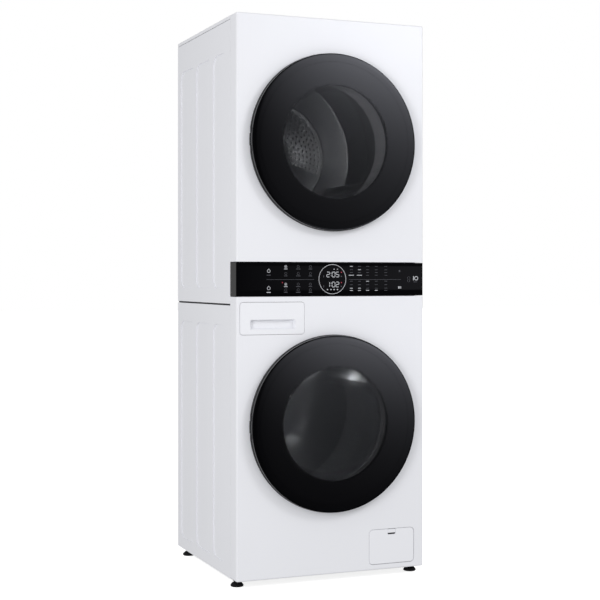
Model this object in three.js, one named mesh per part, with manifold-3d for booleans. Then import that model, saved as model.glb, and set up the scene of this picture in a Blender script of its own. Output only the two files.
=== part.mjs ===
// Washer and dryer stack: a front-loading washer with a dryer above it in one tall cabinet.
// Millimetres, +Z up, the front faces -Y, the origin is on the floor under the middle.
// Inside the groups that are named after a machine part, Y is the depth behind the front plane.

import * as THREE from "three";
import { mergeVertices } from "three/addons/utils/BufferGeometryUtils.js";
import Module from "manifold-3d";

const wasm = await Module();
wasm.setup();

// ---- Driving dimensions -------------------------------------------------------------------

const WIDTH = 600;
const BODY_DEPTH = 576;
const FOOT_HEIGHT = 22;
const LOWER_HEIGHT = 796; // from the underside to the middle of the seam between the cabinets
const UPPER_HEIGHT = 842;
const CABINET_GAP = 5; // dark seam between the two cabinets
const SHEET = 2; // side, rear and top sheets
const SKIN = 2.5; // front sheets
const GLASS = 4;
const WRAP = 54; // how far the front panels run round onto the sides
const CORNER = 5; // upright front corners
const SEAM = 1.5; // visible joint between neighbouring panels
const GAP = 0.3; // between pieces that touch
const PLAY = 1; // between inner pieces and the cabinet's sheets
const TOP_SKIRT = 11;

const BAND_RISE = 24; // control band above the cabinet seam
const BAND_HEIGHT = 100;

const DOOR_RADIUS = 260.5;
const DOOR_PROUD = 30;
const REAR_PROUD = 30;
const RIM_WIDTH = 24.5;
const OPENING_INSET = 76.5; // a loading opening's edge inside the door's edge
const BOWL_INSET = 13; // a door bowl's edge inside the loading opening
const OPENING_RADIUS = DOOR_RADIUS - OPENING_INSET; // loading openings in the front panels
const BOWL_RADIUS = OPENING_RADIUS - BOWL_INSET;
const WASHER_BOWL_DEPTH = 88;
const DRYER_BOWL_DEPTH = 60;
const HINGE_INSET = 6; // hinge axis inside the rim's edge
const HINGE_DEPTH = 12.5; // hinge axis in front of the panel
const LUG_RADIUS = 5.5;
const PIN_RADIUS = 3;

const WASHER_DROP = 351; // washer axis below the cabinet seam
const DRYER_RISE = 476.5; // dryer axis above the cabinet seam
const WASHER_DRUM_RADIUS = 245;
const WASHER_DRUM_WALL = 2;
const WASHER_DRUM_FRONT = 85;
const WASHER_DRUM_DEPTH = 358;
const TUB_RADIUS = 268;
const TUB_WALL = 6;
const TUB_FLANGE = 4; // how far the joint flange stands out of the tub
const LIFTER_HEIGHT = 45;
const SHAFT_RADIUS = 20;
const DRYER_DRUM_RADIUS = 278;
const DRYER_DRUM_WALL = 2;
const DRYER_DRUM_FRONT = 96;
const DRYER_DRUM_DEPTH = 404;
const PULLEY_RADIUS = 20;
const BELT_THICKNESS = 2.5;

const DRAWER_WIDTH = 199.3;
const DRAWER_HEIGHT = 93;
const DRAWER_MARGIN = 10.8; // drawer front from the cabinet's left side
const DRAWER_BELOW_BAND = 17;
const DRAWER_DEPTH = 281;
const FILTER_DOOR_WIDTH = 148;
const FILTER_DOOR_HEIGHT = 103;
const FILTER_DOOR_RISE = 17; // above the underside of the body
const FILTER_DOOR_MARGIN = 32; // from the cabinet's right side

const ROUND = 28; // segments of a large circle
const RIM_ROUND = 32; // segments of the door rims and outer glasses
const MEDIUM = 20; // segments of a circle the size of a hand
const SMALL = 12; // segments of a small circle

// ---- Places worked out from them ------------------------------------------------------------

const HALF = WIDTH / 2;
const FRONT = -BODY_DEPTH / 2 + (DOOR_PROUD - REAR_PROUD) / 2;
const SEAM_Z = FOOT_HEIGHT + LOWER_HEIGHT;
const TOP = SEAM_Z + UPPER_HEIGHT;
const BAND_BOTTOM = SEAM_Z + BAND_RISE;
const BAND_TOP = BAND_BOTTOM + BAND_HEIGHT;
const WASHER_Z = SEAM_Z - WASHER_DROP;
const DRYER_Z = SEAM_Z + DRYER_RISE;
const INSIDE = HALF - SHEET - PLAY; // half width of what fits between the side panels
const HINGE_X = HINGE_INSET - DOOR_RADIUS;
const DRAWER_LEFT = -HALF + DRAWER_MARGIN;
const DRAWER_TOP = BAND_BOTTOM - DRAWER_BELOW_BAND;
const FILTER_X = HALF - FILTER_DOOR_MARGIN - FILTER_DOOR_WIDTH / 2;
const FILTER_Z = FOOT_HEIGHT + FILTER_DOOR_RISE + FILTER_DOOR_HEIGHT / 2;
const REAR_FACE = BODY_DEPTH + GAP; // depth of the first piece that stands on the rear sheet

// ---- Materials ----------------------------------------------------------------------------

function material(color, roughness, metalness) {
  return new THREE.MeshStandardMaterial({ color, roughness, metalness, flatShading: true });
}

const paint = material(0xeeeff3, 0.35, 0.1);
const blackGlass = material(0x0d0d11, 0.08, 0.0);
const tintedGlass = new THREE.MeshStandardMaterial({
  color: 0x15151a, roughness: 0.05, metalness: 0.0, flatShading: true, transparent: true, opacity: 0.5,
});
const clearGlass = new THREE.MeshStandardMaterial({
  color: 0xc9d2d6, roughness: 0.05, metalness: 0.0, flatShading: true, transparent: true, opacity: 0.4,
});
const blackGloss = material(0x0b0b0e, 0.15, 0.0);
const blackPlastic = material(0x222226, 0.6, 0.0);
const whitePlastic = material(0xe9eaee, 0.4, 0.0);
const greyPlastic = material(0x8d9196, 0.55, 0.0);
const greyRubber = material(0x7b7e82, 0.8, 0.0);
const blackRubber = material(0x1c1c1e, 0.85, 0.0);
const steel = material(0xb9bcc0, 0.3, 0.9);
const zincSheet = material(0xa7abad, 0.45, 0.8);
const castAluminium = material(0x9b9ea2, 0.5, 0.7);
const concrete = material(0x8f8d88, 0.9, 0.0);
const copper = material(0x8a4a2c, 0.4, 0.8);

// ---- Solids -------------------------------------------------------------------------------

function toManifold(geometry) {
  const bare = new THREE.BufferGeometry();
  bare.setAttribute("position", geometry.getAttribute("position"));
  bare.setIndex(geometry.getIndex());
  const merged = mergeVertices(bare, 1e-4);
  const index = merged.getIndex().array;
  const triangles = [];
  for (let i = 0; i < index.length; i += 3) {
    const [a, b, c] = [index[i], index[i + 1], index[i + 2]];
    if (a !== b && b !== c && c !== a) {
      triangles.push(a, b, c);
    }
  }
  const mesh = new wasm.Mesh({
    numProp: 3,
    vertProperties: new Float32Array(merged.getAttribute("position").array),
    triVerts: new Uint32Array(triangles),
  });
  return new wasm.Manifold(mesh);
}

function toGeometry(manifold) {
  const mesh = manifold.getMesh();
  const geometry = new THREE.BufferGeometry();
  geometry.setAttribute("position", new THREE.BufferAttribute(mesh.vertProperties, mesh.numProp));
  geometry.setIndex(new THREE.BufferAttribute(mesh.triVerts, 1));
  return geometry;
}

function join(...geometries) {
  return toGeometry(geometries.map(toManifold).reduce((all, next) => all.add(next)));
}

function cut(base, ...tools) {
  return toGeometry(tools.map(toManifold).reduce((left, tool) => left.subtract(tool), toManifold(base)));
}

// A box between two limits on each axis.
function block([x0, x1], [y0, y1], [z0, z1]) {
  const geometry = new THREE.BoxGeometry(x1 - x0, y1 - y0, z1 - z0);
  return geometry.translate((x0 + x1) / 2, (y0 + y1) / 2, (z0 + z1) / 2);
}

// A round solid about the Y axis. The profile lists [radius, depth] anticlockwise, and a ring's
// profile is closed by repeating its first point.
function turned(profile, segments = ROUND) {
  return new THREE.LatheGeometry(profile.map(([r, y]) => new THREE.Vector2(r, y)), segments);
}

function ring(profile, segments = ROUND) {
  return turned([...profile, profile[0]], segments);
}

function rodY(radius, y0, y1, x = 0, z = 0, segments = SMALL) {
  const geometry = new THREE.CylinderGeometry(radius, radius, y1 - y0, segments);
  return geometry.translate(x, (y0 + y1) / 2, z);
}

function rodZ(radius, z0, z1, x = 0, y = 0, segments = SMALL) {
  const geometry = new THREE.CylinderGeometry(radius, radius, z1 - z0, segments).rotateX(Math.PI / 2);
  return geometry.translate(x, y, (z0 + z1) / 2);
}

function rodX(radius, x0, x1, y = 0, z = 0, segments = SMALL) {
  const geometry = new THREE.CylinderGeometry(radius, radius, x1 - x0, segments).rotateZ(Math.PI / 2);
  return geometry.translate((x0 + x1) / 2, y, z);
}

function roundedRectangle([a0, a1], [b0, b1], radius) {
  const shape = new THREE.Shape();
  shape.absarc(a1 - radius, b0 + radius, radius, -Math.PI / 2, 0);
  shape.absarc(a1 - radius, b1 - radius, radius, 0, Math.PI / 2);
  shape.absarc(a0 + radius, b1 - radius, radius, Math.PI / 2, Math.PI);
  shape.absarc(a0 + radius, b0 + radius, radius, Math.PI, 1.5 * Math.PI);
  shape.closePath();
  return shape;
}

function extrude(shape, depth, curveSegments = 2) {
  return new THREE.ExtrudeGeometry(shape, { depth, bevelEnabled: false, curveSegments });
}

// A shape drawn in X and Z, standing between two depths.
function facing(shape, [y0, y1], curveSegments = 2) {
  return extrude(shape, y1 - y0, curveSegments).rotateX(Math.PI / 2).translate(0, y1, 0);
}

// A shape drawn in Y and Z, standing between two places across the width.
function sideways(shape, [x0, x1]) {
  const axes = new THREE.Matrix4().makeBasis(
    new THREE.Vector3(0, 1, 0), new THREE.Vector3(0, 0, 1), new THREE.Vector3(1, 0, 0),
  );
  return extrude(shape, x1 - x0).applyMatrix4(axes).translate(x0, 0, 0);
}

// A tray that is open upwards: outer limits, wall and floor thickness.
function tray([x0, x1], [y0, y1], [z0, z1], wall, floor) {
  const hollow = block([x0 + wall, x1 - wall], [y0 + wall, y1 - wall], [z0 + floor, z1 + 1]);
  return cut(block([x0, x1], [y0, y1], [z0, z1]), hollow);
}

const part = new THREE.Group();

function place(group, name, geometry, surface) {
  const mesh = new THREE.Mesh(geometry, surface);
  mesh.name = name;
  group.add(mesh);
  return mesh;
}

// A group whose origin is on the front plane, so that its Y is a depth.
function stationAt(x, z) {
  const group = new THREE.Group();
  group.position.set(x, FRONT, z);
  part.add(group);
  return group;
}

// ---- Cabinet ------------------------------------------------------------------------------

const cabinet = stationAt(0, 0);
const FOOT_INSET = 20;
const FOOT_FRONT = 52;
const FOOT_REAR = BODY_DEPTH - 56;
const FOOT_RADIUS = 19;
const STEM_RADIUS = 6;
const PAN_HEIGHT = 10;
const PAN_FLOOR = 3;
const footX = HALF - FOOT_INSET;

function foot() {
  const under = FOOT_HEIGHT - GAP;
  const profile = [
    [0, 0], [FOOT_RADIUS, 0], [FOOT_RADIUS, 6], [14, 12], [12, 13], [12, under],
    [STEM_RADIUS, under], [STEM_RADIUS, FOOT_HEIGHT + PAN_HEIGHT], [0, FOOT_HEIGHT + PAN_HEIGHT],
  ];
  return turned(profile, SMALL).rotateX(Math.PI / 2);
}

for (const [side, x] of [["left", -footX], ["right", footX]]) {
  for (const [end, y] of [["front", FOOT_FRONT], ["rear", FOOT_REAR]]) {
    place(cabinet, `foot_${end}_${side}`, foot(), blackRubber).position.set(x, y, 0);
  }
}

function basePan() {
  const pan = tray(
    [-INSIDE, INSIDE], [CORNER + PLAY, BODY_DEPTH - SHEET - PLAY],
    [FOOT_HEIGHT, FOOT_HEIGHT + PAN_HEIGHT], SHEET, PAN_FLOOR,
  );
  const holes = [];
  for (const x of [-footX, footX]) {
    for (const y of [FOOT_FRONT, FOOT_REAR]) {
      holes.push(rodZ(STEM_RADIUS + GAP, 0, FOOT_HEIGHT + PAN_HEIGHT, x, y));
    }
  }
  return cut(pan, ...holes);
}

const DECK_FRONT = 40;
const DECK_HEIGHT = 16;
const DECK_FLOOR = 4;
const DECK_Z = SEAM_Z - DECK_FLOOR / 2;

function middleDeck() {
  return tray(
    [-INSIDE, INSIDE], [DECK_FRONT, BODY_DEPTH - SHEET - PLAY],
    [DECK_Z, DECK_Z + DECK_HEIGHT], SHEET, DECK_FLOOR,
  );
}

place(cabinet, "base_pan", basePan(), zincSheet);
place(cabinet, "middle_deck", middleDeck(), blackPlastic);

// Each side sheet has three tall pressed panels.
const PRESS_EDGES = [88, 219, 386, 549];
const PRESS_RIB = 12;
const PRESS_DEPTH = 3;
const PRESS_CORNER = 32;
const LOWER_PRESS = [37, 58]; // clear of the sheet's lower and upper edge
const UPPER_PRESS = [44, 88];
const SIDE_FRONT = WRAP + SEAM;

function sidePanel(side, [z0, z1], [low, high]) {
  const outer = side * HALF;
  const across = (from, to) => [outer - side * from, outer - side * to].sort((a, b) => a - b);
  let sheet = block(across(0, SHEET), [SIDE_FRONT, BODY_DEPTH], [z0, z1]);
  const pads = [];
  const pockets = [];
  for (let i = 0; i + 1 < PRESS_EDGES.length; i += 1) {
    const y = [PRESS_EDGES[i] + PRESS_RIB / 2, PRESS_EDGES[i + 1] - PRESS_RIB / 2];
    const z = [z0 + low, z1 - high];
    const grown = (values) => [values[0] - SHEET, values[1] + SHEET];
    const pad = roundedRectangle(grown(y), grown(z), PRESS_CORNER + SHEET);
    pads.push(sideways(pad, across(SHEET / 2, SHEET + PRESS_DEPTH)));
    pockets.push(sideways(roundedRectangle(y, z, PRESS_CORNER), across(-PLAY, PRESS_DEPTH)));
  }
  sheet = join(sheet, ...pads);
  return cut(sheet, ...pockets);
}

const lowerSpan = [FOOT_HEIGHT, SEAM_Z - CABINET_GAP / 2];
const upperSpan = [SEAM_Z + CABINET_GAP / 2, TOP - TOP_SKIRT - SEAM];
for (const [name, side] of [["left", -1], ["right", 1]]) {
  place(cabinet, `side_panel_lower_${name}`, sidePanel(side, lowerSpan, LOWER_PRESS), paint);
  place(cabinet, `side_panel_upper_${name}`, sidePanel(side, upperSpan, UPPER_PRESS), paint);
}

function topCover() {
  const cover = block([-HALF, HALF], [SIDE_FRONT, BODY_DEPTH], [TOP - TOP_SKIRT, TOP]);
  const hollow = block(
    [SHEET - HALF, HALF - SHEET], [SIDE_FRONT + SHEET, BODY_DEPTH - SHEET], [TOP - TOP_SKIRT - 1, TOP - SHEET],
  );
  return cut(cover, hollow);
}

place(cabinet, "top_cover", topCover(), paint);

// ---- Front panels and control band ------------------------------------------------------------

// Plan outline of a sheet that covers the front and wraps round both upright corners.
function wrapOutline(thickness) {
  const inner = CORNER - thickness;
  const shape = new THREE.Shape();
  shape.moveTo(-HALF, WRAP);
  shape.absarc(CORNER - HALF, CORNER, CORNER, Math.PI, 1.5 * Math.PI);
  shape.absarc(HALF - CORNER, CORNER, CORNER, 1.5 * Math.PI, 2 * Math.PI);
  shape.lineTo(HALF, WRAP);
  shape.lineTo(HALF - thickness, WRAP);
  shape.absarc(HALF - CORNER, CORNER, inner, 0, -Math.PI / 2, true);
  shape.absarc(CORNER - HALF, CORNER, inner, 1.5 * Math.PI, Math.PI, true);
  shape.lineTo(thickness - HALF, WRAP);
  shape.closePath();
  return shape;
}

function wrappedSheet(thickness, [z0, z1]) {
  return extrude(wrapOutline(thickness), z1 - z0, 3).translate(0, 0, z0);
}

// Holes that a door needs in its panel: the opening, two hinge webs and the hook.
const LUG_INNER = 18;
const LUG_OUTER = 34;
const WEB = 3; // half thickness of the webs
const WEB_PLAY = 0.5;
const HOOK_X = OPENING_RADIUS + 16;
const HOOK_HALF = 8;
const HOOK_PLAY = 2;
const HOOK_REACH = 14; // depth of the hook behind the front plane
const HOOK_LENGTH = 11;

function doorHoles(z) {
  const through = [-PLAY, SKIN + PLAY];
  const holes = [rodY(OPENING_RADIUS, ...through, 0, z, ROUND)];
  for (const side of [-1, 1]) {
    const heights = [side * (LUG_INNER - WEB_PLAY), side * (LUG_OUTER + WEB_PLAY)].sort((a, b) => a - b);
    holes.push(block(
      [HINGE_X - WEB - WEB_PLAY, HINGE_X + WEB + WEB_PLAY], through, heights.map((height) => z + height),
    ));
  }
  const half = HOOK_HALF + HOOK_PLAY;
  holes.push(block([HOOK_X - HOOK_PLAY, HOOK_X + HOOK_LENGTH + HOOK_PLAY], through, [z - half, z + half]));
  return holes;
}

const DRAWER_CORNER = 8;
const FILTER_CORNER = 12;
const drawerX = [DRAWER_LEFT, DRAWER_LEFT + DRAWER_WIDTH];
const drawerZ = [DRAWER_TOP - DRAWER_HEIGHT, DRAWER_TOP];
const grown = ([low, high], by) => [low - by, high + by];

function frontPanelLower() {
  const drawerHole = roundedRectangle(grown(drawerX, PLAY), grown(drawerZ, PLAY), DRAWER_CORNER + PLAY);
  const filterHole = roundedRectangle(
    grown([FILTER_X - FILTER_DOOR_WIDTH / 2, FILTER_X + FILTER_DOOR_WIDTH / 2], PLAY),
    grown([FILTER_Z - FILTER_DOOR_HEIGHT / 2, FILTER_Z + FILTER_DOOR_HEIGHT / 2], PLAY),
    FILTER_CORNER + PLAY,
  );
  const through = [-PLAY, SKIN + PLAY];
  return cut(
    wrappedSheet(SKIN, [FOOT_HEIGHT, BAND_BOTTOM - SEAM / 2]),
    ...doorHoles(WASHER_Z), facing(drawerHole, through), facing(filterHole, through),
  );
}

function frontPanelUpper() {
  const sheet = wrappedSheet(SKIN, [BAND_TOP + SEAM / 2, TOP]);
  const topReturn = block(
    [SKIN / 2 - HALF, HALF - SKIN / 2], [CORNER, WRAP], [TOP - SKIN, TOP],
  );
  const nose = block([CORNER - HALF, HALF - CORNER], [SKIN / 2, CORNER + 1], [TOP - SKIN, TOP]);
  return cut(join(sheet, topReturn, nose), ...doorHoles(DRYER_Z));
}

place(cabinet, "front_panel_lower", frontPanelLower(), paint);
place(cabinet, "front_panel_upper", frontPanelUpper(), paint);
const band = wrappedSheet(GLASS, [BAND_BOTTOM + SEAM / 2, BAND_TOP - SEAM / 2]);
place(cabinet, "control_glass", band, blackGlass);

const HOUSING_DEPTH = 24;

function controlHousing() {
  const x = [15 - HALF, HALF - 15];
  const z = [BAND_BOTTOM + 8, BAND_TOP - 8];
  const y = [GLASS + GAP, GLASS + GAP + HOUSING_DEPTH];
  return cut(block(x, y, z), block(grown(x, -SHEET), [y[0] + SHEET, y[1] + 1], grown(z, -SHEET)));
}

place(cabinet, "control_housing", controlHousing(), blackPlastic);

// ---- Doors ----------------------------------------------------------------------------------

const DOME = 4.5; // how far the outer glass swells forward in the middle
const DOME_STEPS = 3;
const RIM_INNER = DOOR_RADIUS - RIM_WIDTH;
const RIM_FRONT = DOME - DOOR_PROUD; // the rim's face carries the outer glass's curve on
const RIM_BACK = -1; // the rim's clearance to the panel
const LEDGE = [-21, -8]; // depth span of the ledge between the outer glass and the inner frame
const LEDGE_WIDTH = 10;
const BOWL_WALL = 5;
const BOWL_FLANGE = [-12, LEDGE[1]];
const BOWL_FLANGE_RADIUS = BOWL_RADIUS + 14;

function rimBody() {
  return ring([
    [RIM_INNER, RIM_FRONT], [DOOR_RADIUS - 6, RIM_FRONT + 0.9], [DOOR_RADIUS - 1.8, RIM_FRONT + 3],
    [DOOR_RADIUS, RIM_FRONT + 7], [DOOR_RADIUS, -6], [DOOR_RADIUS - 4.5, RIM_BACK],
    [RIM_INNER, RIM_BACK], [RIM_INNER, LEDGE[1]],
    [RIM_INNER - LEDGE_WIDTH, LEDGE[1]], [RIM_INNER - LEDGE_WIDTH, LEDGE[0]], [RIM_INNER, LEDGE[0]],
  ], RIM_ROUND);
}

// The rim turns on the hinge pin and has a pocket round each fixed lug and its web.
function doorRim() {
  const reach = LUG_RADIUS + 2 * GAP;
  const sweep = WEB + WEB_PLAY;
  const tools = [rodZ(PIN_RADIUS + GAP, -LUG_OUTER - WEB_PLAY, LUG_OUTER + WEB_PLAY, HINGE_X, -HINGE_DEPTH)];
  for (const side of [-1, 1]) {
    const heights = [side * (LUG_INNER - GAP), side * (LUG_OUTER + GAP)].sort((a, b) => a - b);
    tools.push(rodZ(reach, ...heights, HINGE_X, -HINGE_DEPTH));
    tools.push(block([HINGE_X - 2 * HINGE_INSET, HINGE_X + sweep], [-HINGE_DEPTH - 7, 1], heights));
  }
  return cut(rimBody(), ...tools);
}

function hingeBracket() {
  const pieces = [rodZ(PIN_RADIUS, -LUG_OUTER, LUG_OUTER, HINGE_X, -HINGE_DEPTH)];
  for (const side of [-1, 1]) {
    const heights = [side * LUG_INNER, side * LUG_OUTER].sort((a, b) => a - b);
    pieces.push(rodZ(LUG_RADIUS, ...heights, HINGE_X, -HINGE_DEPTH));
    pieces.push(block([HINGE_X - WEB, HINGE_X + WEB], [-HINGE_DEPTH, SKIN + 2 * GAP], heights));
  }
  pieces.push(block([HINGE_X - 12, HINGE_X + 14], [SKIN + GAP, SKIN + 3], [-46, 46]));
  return join(...pieces);
}

function outerGlass() {
  const radius = RIM_INNER - GAP;
  const frontFace = [];
  for (let i = 0; i <= DOME_STEPS; i += 1) {
    const share = i / DOME_STEPS;
    frontFace.push([radius * share, -DOOR_PROUD + DOME * share * share]);
  }
  const backFace = frontFace.map(([r, y]) => [r, y + GLASS]).reverse();
  return turned([...frontFace, ...backFace], RIM_ROUND);
}

function bowl(depth) {
  const [flangeFront, flangeBack] = BOWL_FLANGE;
  return turned([
    [0, depth - BOWL_WALL], [BOWL_RADIUS - 63, depth - 8], [BOWL_RADIUS - 37, depth - 20],
    [BOWL_RADIUS - 7, -2], [BOWL_RADIUS - 5, flangeFront], [BOWL_FLANGE_RADIUS, flangeFront],
    [BOWL_FLANGE_RADIUS, flangeBack - GAP], [BOWL_RADIUS, flangeBack - GAP], [BOWL_RADIUS, 0],
    [BOWL_RADIUS - 31, depth - 16], [BOWL_RADIUS - 58, depth - 3], [0, depth],
  ], RIM_ROUND);
}

function innerFrame() {
  const [y0, y1] = [LEDGE[1] + GAP, RIM_BACK - WEB_PLAY];
  const [r0, r1] = [BOWL_RADIUS + 2 * GAP, RIM_INNER - WEB_PLAY];
  const plate = ring([[r0, y0], [r1, y0], [r1, y1], [r0, y1]], RIM_ROUND);
  const heights = [-HOOK_HALF, HOOK_HALF];
  const arm = block([HOOK_X, HOOK_X + 6], [y1 - 1, HOOK_REACH], heights);
  const nose = block([HOOK_X, HOOK_X + HOOK_LENGTH], [HOOK_REACH - 5, HOOK_REACH], heights);
  return join(plate, arm, nose);
}

for (const [machine, z, depth] of [
  ["washer", WASHER_Z, WASHER_BOWL_DEPTH], ["dryer", DRYER_Z, DRYER_BOWL_DEPTH],
]) {
  const door = stationAt(0, z);
  place(door, `${machine}_door_rim`, doorRim(), blackGloss);
  place(door, `${machine}_door_glass`, outerGlass(), tintedGlass);
  place(door, `${machine}_door_bowl`, bowl(depth), clearGlass);
  place(door, `${machine}_door_inner_frame`, innerFrame(), blackPlastic);
  place(door, `${machine}_door_hinge`, hingeBracket(), blackPlastic);
}

// ---- Detergent drawer -----------------------------------------------------------------------

const FRONT_PLATE = 14;
const TRAY_WALL = 2.5;
const TRAY_PLAY = 1.5;
const RECESS = { left: 31, right: 27, bottom: 13, top: 43, depth: 10, undercut: 8 };
const TRAY_SIDE = 6.5;
const trayX = grown(drawerX, -TRAY_SIDE);
const trayZ = [drawerZ[0] + 4, drawerZ[1] - 24];
const trayY = [FRONT_PLATE + GAP, FRONT_PLATE + GAP + DRAWER_DEPTH];

function drawerFront() {
  const plate = facing(roundedRectangle(drawerX, drawerZ, DRAWER_CORNER), [0, FRONT_PLATE]);
  const x = [drawerX[0] + RECESS.left, drawerX[1] - RECESS.right];
  const z = [drawerZ[0] + RECESS.bottom, drawerZ[0] + RECESS.top];
  const recess = facing(roundedRectangle(x, z, 4), [-1, RECESS.depth]);
  const undercut = block(grown(x, -4), [4, RECESS.depth], [z[1] - 1, z[1] + RECESS.undercut]);
  return cut(plate, recess, undercut);
}

// The tray is one moulding with a main wash, a prewash and a softener compartment.
const COMPARTMENTS = [[0, 0.44], [0.44, 0.74], [0.74, 1]];

function drawerTray() {
  const [left, right] = grown(trayX, -TRAY_WALL / 2);
  const hollows = COMPARTMENTS.map(([from, to]) => block(
    [left + (right - left) * from + TRAY_WALL / 2, left + (right - left) * to - TRAY_WALL / 2],
    grown(trayY, -TRAY_WALL), [trayZ[0] + TRAY_WALL, trayZ[1] + 1],
  ));
  return cut(block(trayX, trayY, trayZ), ...hollows);
}

function drawerHousing() {
  const inner = [grown(trayX, TRAY_PLAY), [0, trayY[1] + TRAY_PLAY], grown(trayZ, TRAY_PLAY)];
  const outerY = [FRONT_PLATE + TRAY_PLAY, inner[1][1] + SHEET];
  const outer = [grown(inner[0], SHEET), outerY, grown(inner[2], SHEET)];
  return cut(block(...outer), block(...inner));
}

place(cabinet, "drawer_front", drawerFront(), whitePlastic);
place(cabinet, "drawer_tray", drawerTray(), greyPlastic);
place(cabinet, "drawer_housing", drawerHousing(), whitePlastic);

// ---- Drain pump, filter door and latch ------------------------------------------------------

const pumpStation = stationAt(FILTER_X, FILTER_Z);
const DOOR_PLATE = 3.5;
const FILTER_AXIS_DEPTH = 8;
const FILTER_AXIS_RISE = 16; // above the lower edge of the filter door
const FILTER_PIN = 2.5;
const FILTER_SWING = 3; // room under the filter door's lower edge as it tips out
const BOSS_RADIUS = 4.2;
const TAB_WIDTH = 25;
const TAB_HEIGHT = 12;
const TAB_DEPTH = 6;
const TAB_GAP = 4.5; // free space under the latch tab, a little more than its travel
const FILTER_CHAMFER = 1.5; // round the filter door, so that its lower corners clear the panel
const POCKET_DEPTH = 28;
const PUMP_RADIUS = 37;
const CAP_STEM = 27;
const halfWidth = FILTER_DOOR_WIDTH / 2;
const halfHeight = FILTER_DOOR_HEIGHT / 2;
const filterAxisZ = FILTER_AXIS_RISE - halfHeight;
const earX = [halfWidth - 14, halfWidth - 8];

function filterDoor() {
  const outline = roundedRectangle([-halfWidth, halfWidth], [-halfHeight, halfHeight], FILTER_CORNER);
  const plate = new THREE.ExtrudeGeometry(outline, {
    depth: DOOR_PLATE - 2 * FILTER_CHAMFER,
    bevelThickness: FILTER_CHAMFER,
    bevelSize: FILTER_CHAMFER,
    bevelOffset: -FILTER_CHAMFER,
    bevelSegments: 1,
    curveSegments: 2,
  }).rotateX(Math.PI / 2).translate(0, DOOR_PLATE - FILTER_CHAMFER, 0);
  const notchHalf = TAB_WIDTH / 2 + GAP;
  const notch = block(
    [-notchHalf, notchHalf], [-1, DOOR_PLATE + 1], [halfHeight - TAB_HEIGHT - TAB_GAP, halfHeight + 1],
  );
  const ears = [];
  for (const side of [-1, 1]) {
    const x = earX.map((value) => side * value).sort((a, b) => a - b);
    const pin = [side * (earX[0] + 1), side * (halfWidth - 2)].sort((a, b) => a - b);
    ears.push(block(x, [DOOR_PLATE - 1, FILTER_AXIS_DEPTH + 3], [filterAxisZ - 3.5, filterAxisZ + 5]));
    ears.push(rodX(FILTER_PIN, ...pin, FILTER_AXIS_DEPTH, filterAxisZ));
  }
  return join(cut(plate, notch), ...ears);
}

function filterLatch() {
  const x = [-TAB_WIDTH / 2, TAB_WIDTH / 2];
  const face = block(x, [GAP, TAB_DEPTH], [halfHeight - TAB_HEIGHT, halfHeight - GAP]);
  const slide = block(
    grown(x, 4), [DOOR_PLATE + GAP, DOOR_PLATE + 3], [halfHeight - TAB_HEIGHT, halfHeight - 4],
  );
  return join(face, slide);
}

function drainPump() {
  const inner = [
    grown([-halfWidth, halfWidth], PLAY),
    [0, POCKET_DEPTH - SHEET],
    [-halfHeight - FILTER_SWING, halfHeight + PLAY],
  ];
  const outer = [grown(inner[0], SHEET), [SKIN + GAP, POCKET_DEPTH], grown(inner[2], SHEET)];
  const bosses = [];
  for (const side of [-1, 1]) {
    const x = [side * (earX[1] + 1), side * (halfWidth + PLAY + SHEET / 2)].sort((a, b) => a - b);
    bosses.push(rodX(BOSS_RADIUS, ...x, FILTER_AXIS_DEPTH, filterAxisZ));
    bosses.push(block(x, [FILTER_AXIS_DEPTH, FILTER_AXIS_DEPTH + 6], [filterAxisZ - 4, filterAxisZ + 4]));
  }
  const pocket = join(cut(block(...outer), block(...inner)), ...bosses);
  const body = join(pocket, rodY(PUMP_RADIUS, POCKET_DEPTH - 1, 132, 0, 0, MEDIUM));
  const pinHole = rodX(FILTER_PIN + GAP, -halfWidth, halfWidth, FILTER_AXIS_DEPTH, filterAxisZ);
  return cut(body, rodY(CAP_STEM + 2 * GAP, 5, 112, 0, 0, MEDIUM), pinHole);
}

function filterCap() {
  const front = POCKET_DEPTH - SHEET - GAP;
  const disc = rodY(CAP_STEM + 6, front - 4, front, 0, 0, MEDIUM);
  const stem = rodY(CAP_STEM, front - 1, 100, 0, 0, MEDIUM);
  const grip = block([-22, 22], [front - 11, front - 3], [-4, 4]);
  return join(disc, stem, grip);
}

place(pumpStation, "filter_door", filterDoor(), whitePlastic);
place(pumpStation, "filter_latch", filterLatch(), whitePlastic);
place(pumpStation, "drain_pump", drainPump(), greyPlastic);
place(pumpStation, "filter_cap", filterCap(), blackPlastic);

// ---- Washer: tub, drum and drive --------------------------------------------------------------

const washer = stationAt(0, WASHER_Z);
const TUB_FRONT = 73;
const TUB_JOINT = 268;
const TUB_BACK = 484;
const NECK_RADIUS = OPENING_RADIUS + 12;
const DRUM_BACK = WASHER_DRUM_FRONT + WASHER_DRUM_DEPTH;
const HUB_RADIUS = 45;
const SPRING_X = 250;
const SPRING_Y = 380;
const SPRING_Z = 135;
const SPRING_LUG = 35;
const DAMPER_X = 170;
const DAMPER_Y = 310;
const DAMPER_Z = -222;
const DAMPER_LUG = 26;

function tubFront() {
  const wall = TUB_RADIUS - TUB_WALL;
  return ring([
    [NECK_RADIUS, TUB_FRONT - 20], [NECK_RADIUS + 4, TUB_FRONT - 20], [NECK_RADIUS + 4, TUB_FRONT],
    [TUB_RADIUS, TUB_FRONT], [TUB_RADIUS, TUB_JOINT - 8], [TUB_RADIUS + TUB_FLANGE, TUB_JOINT - 8],
    [TUB_RADIUS + TUB_FLANGE, TUB_JOINT - GAP], [wall, TUB_JOINT - GAP], [wall, TUB_FRONT + TUB_WALL],
    [NECK_RADIUS, TUB_FRONT + TUB_WALL],
  ]);
}

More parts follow.
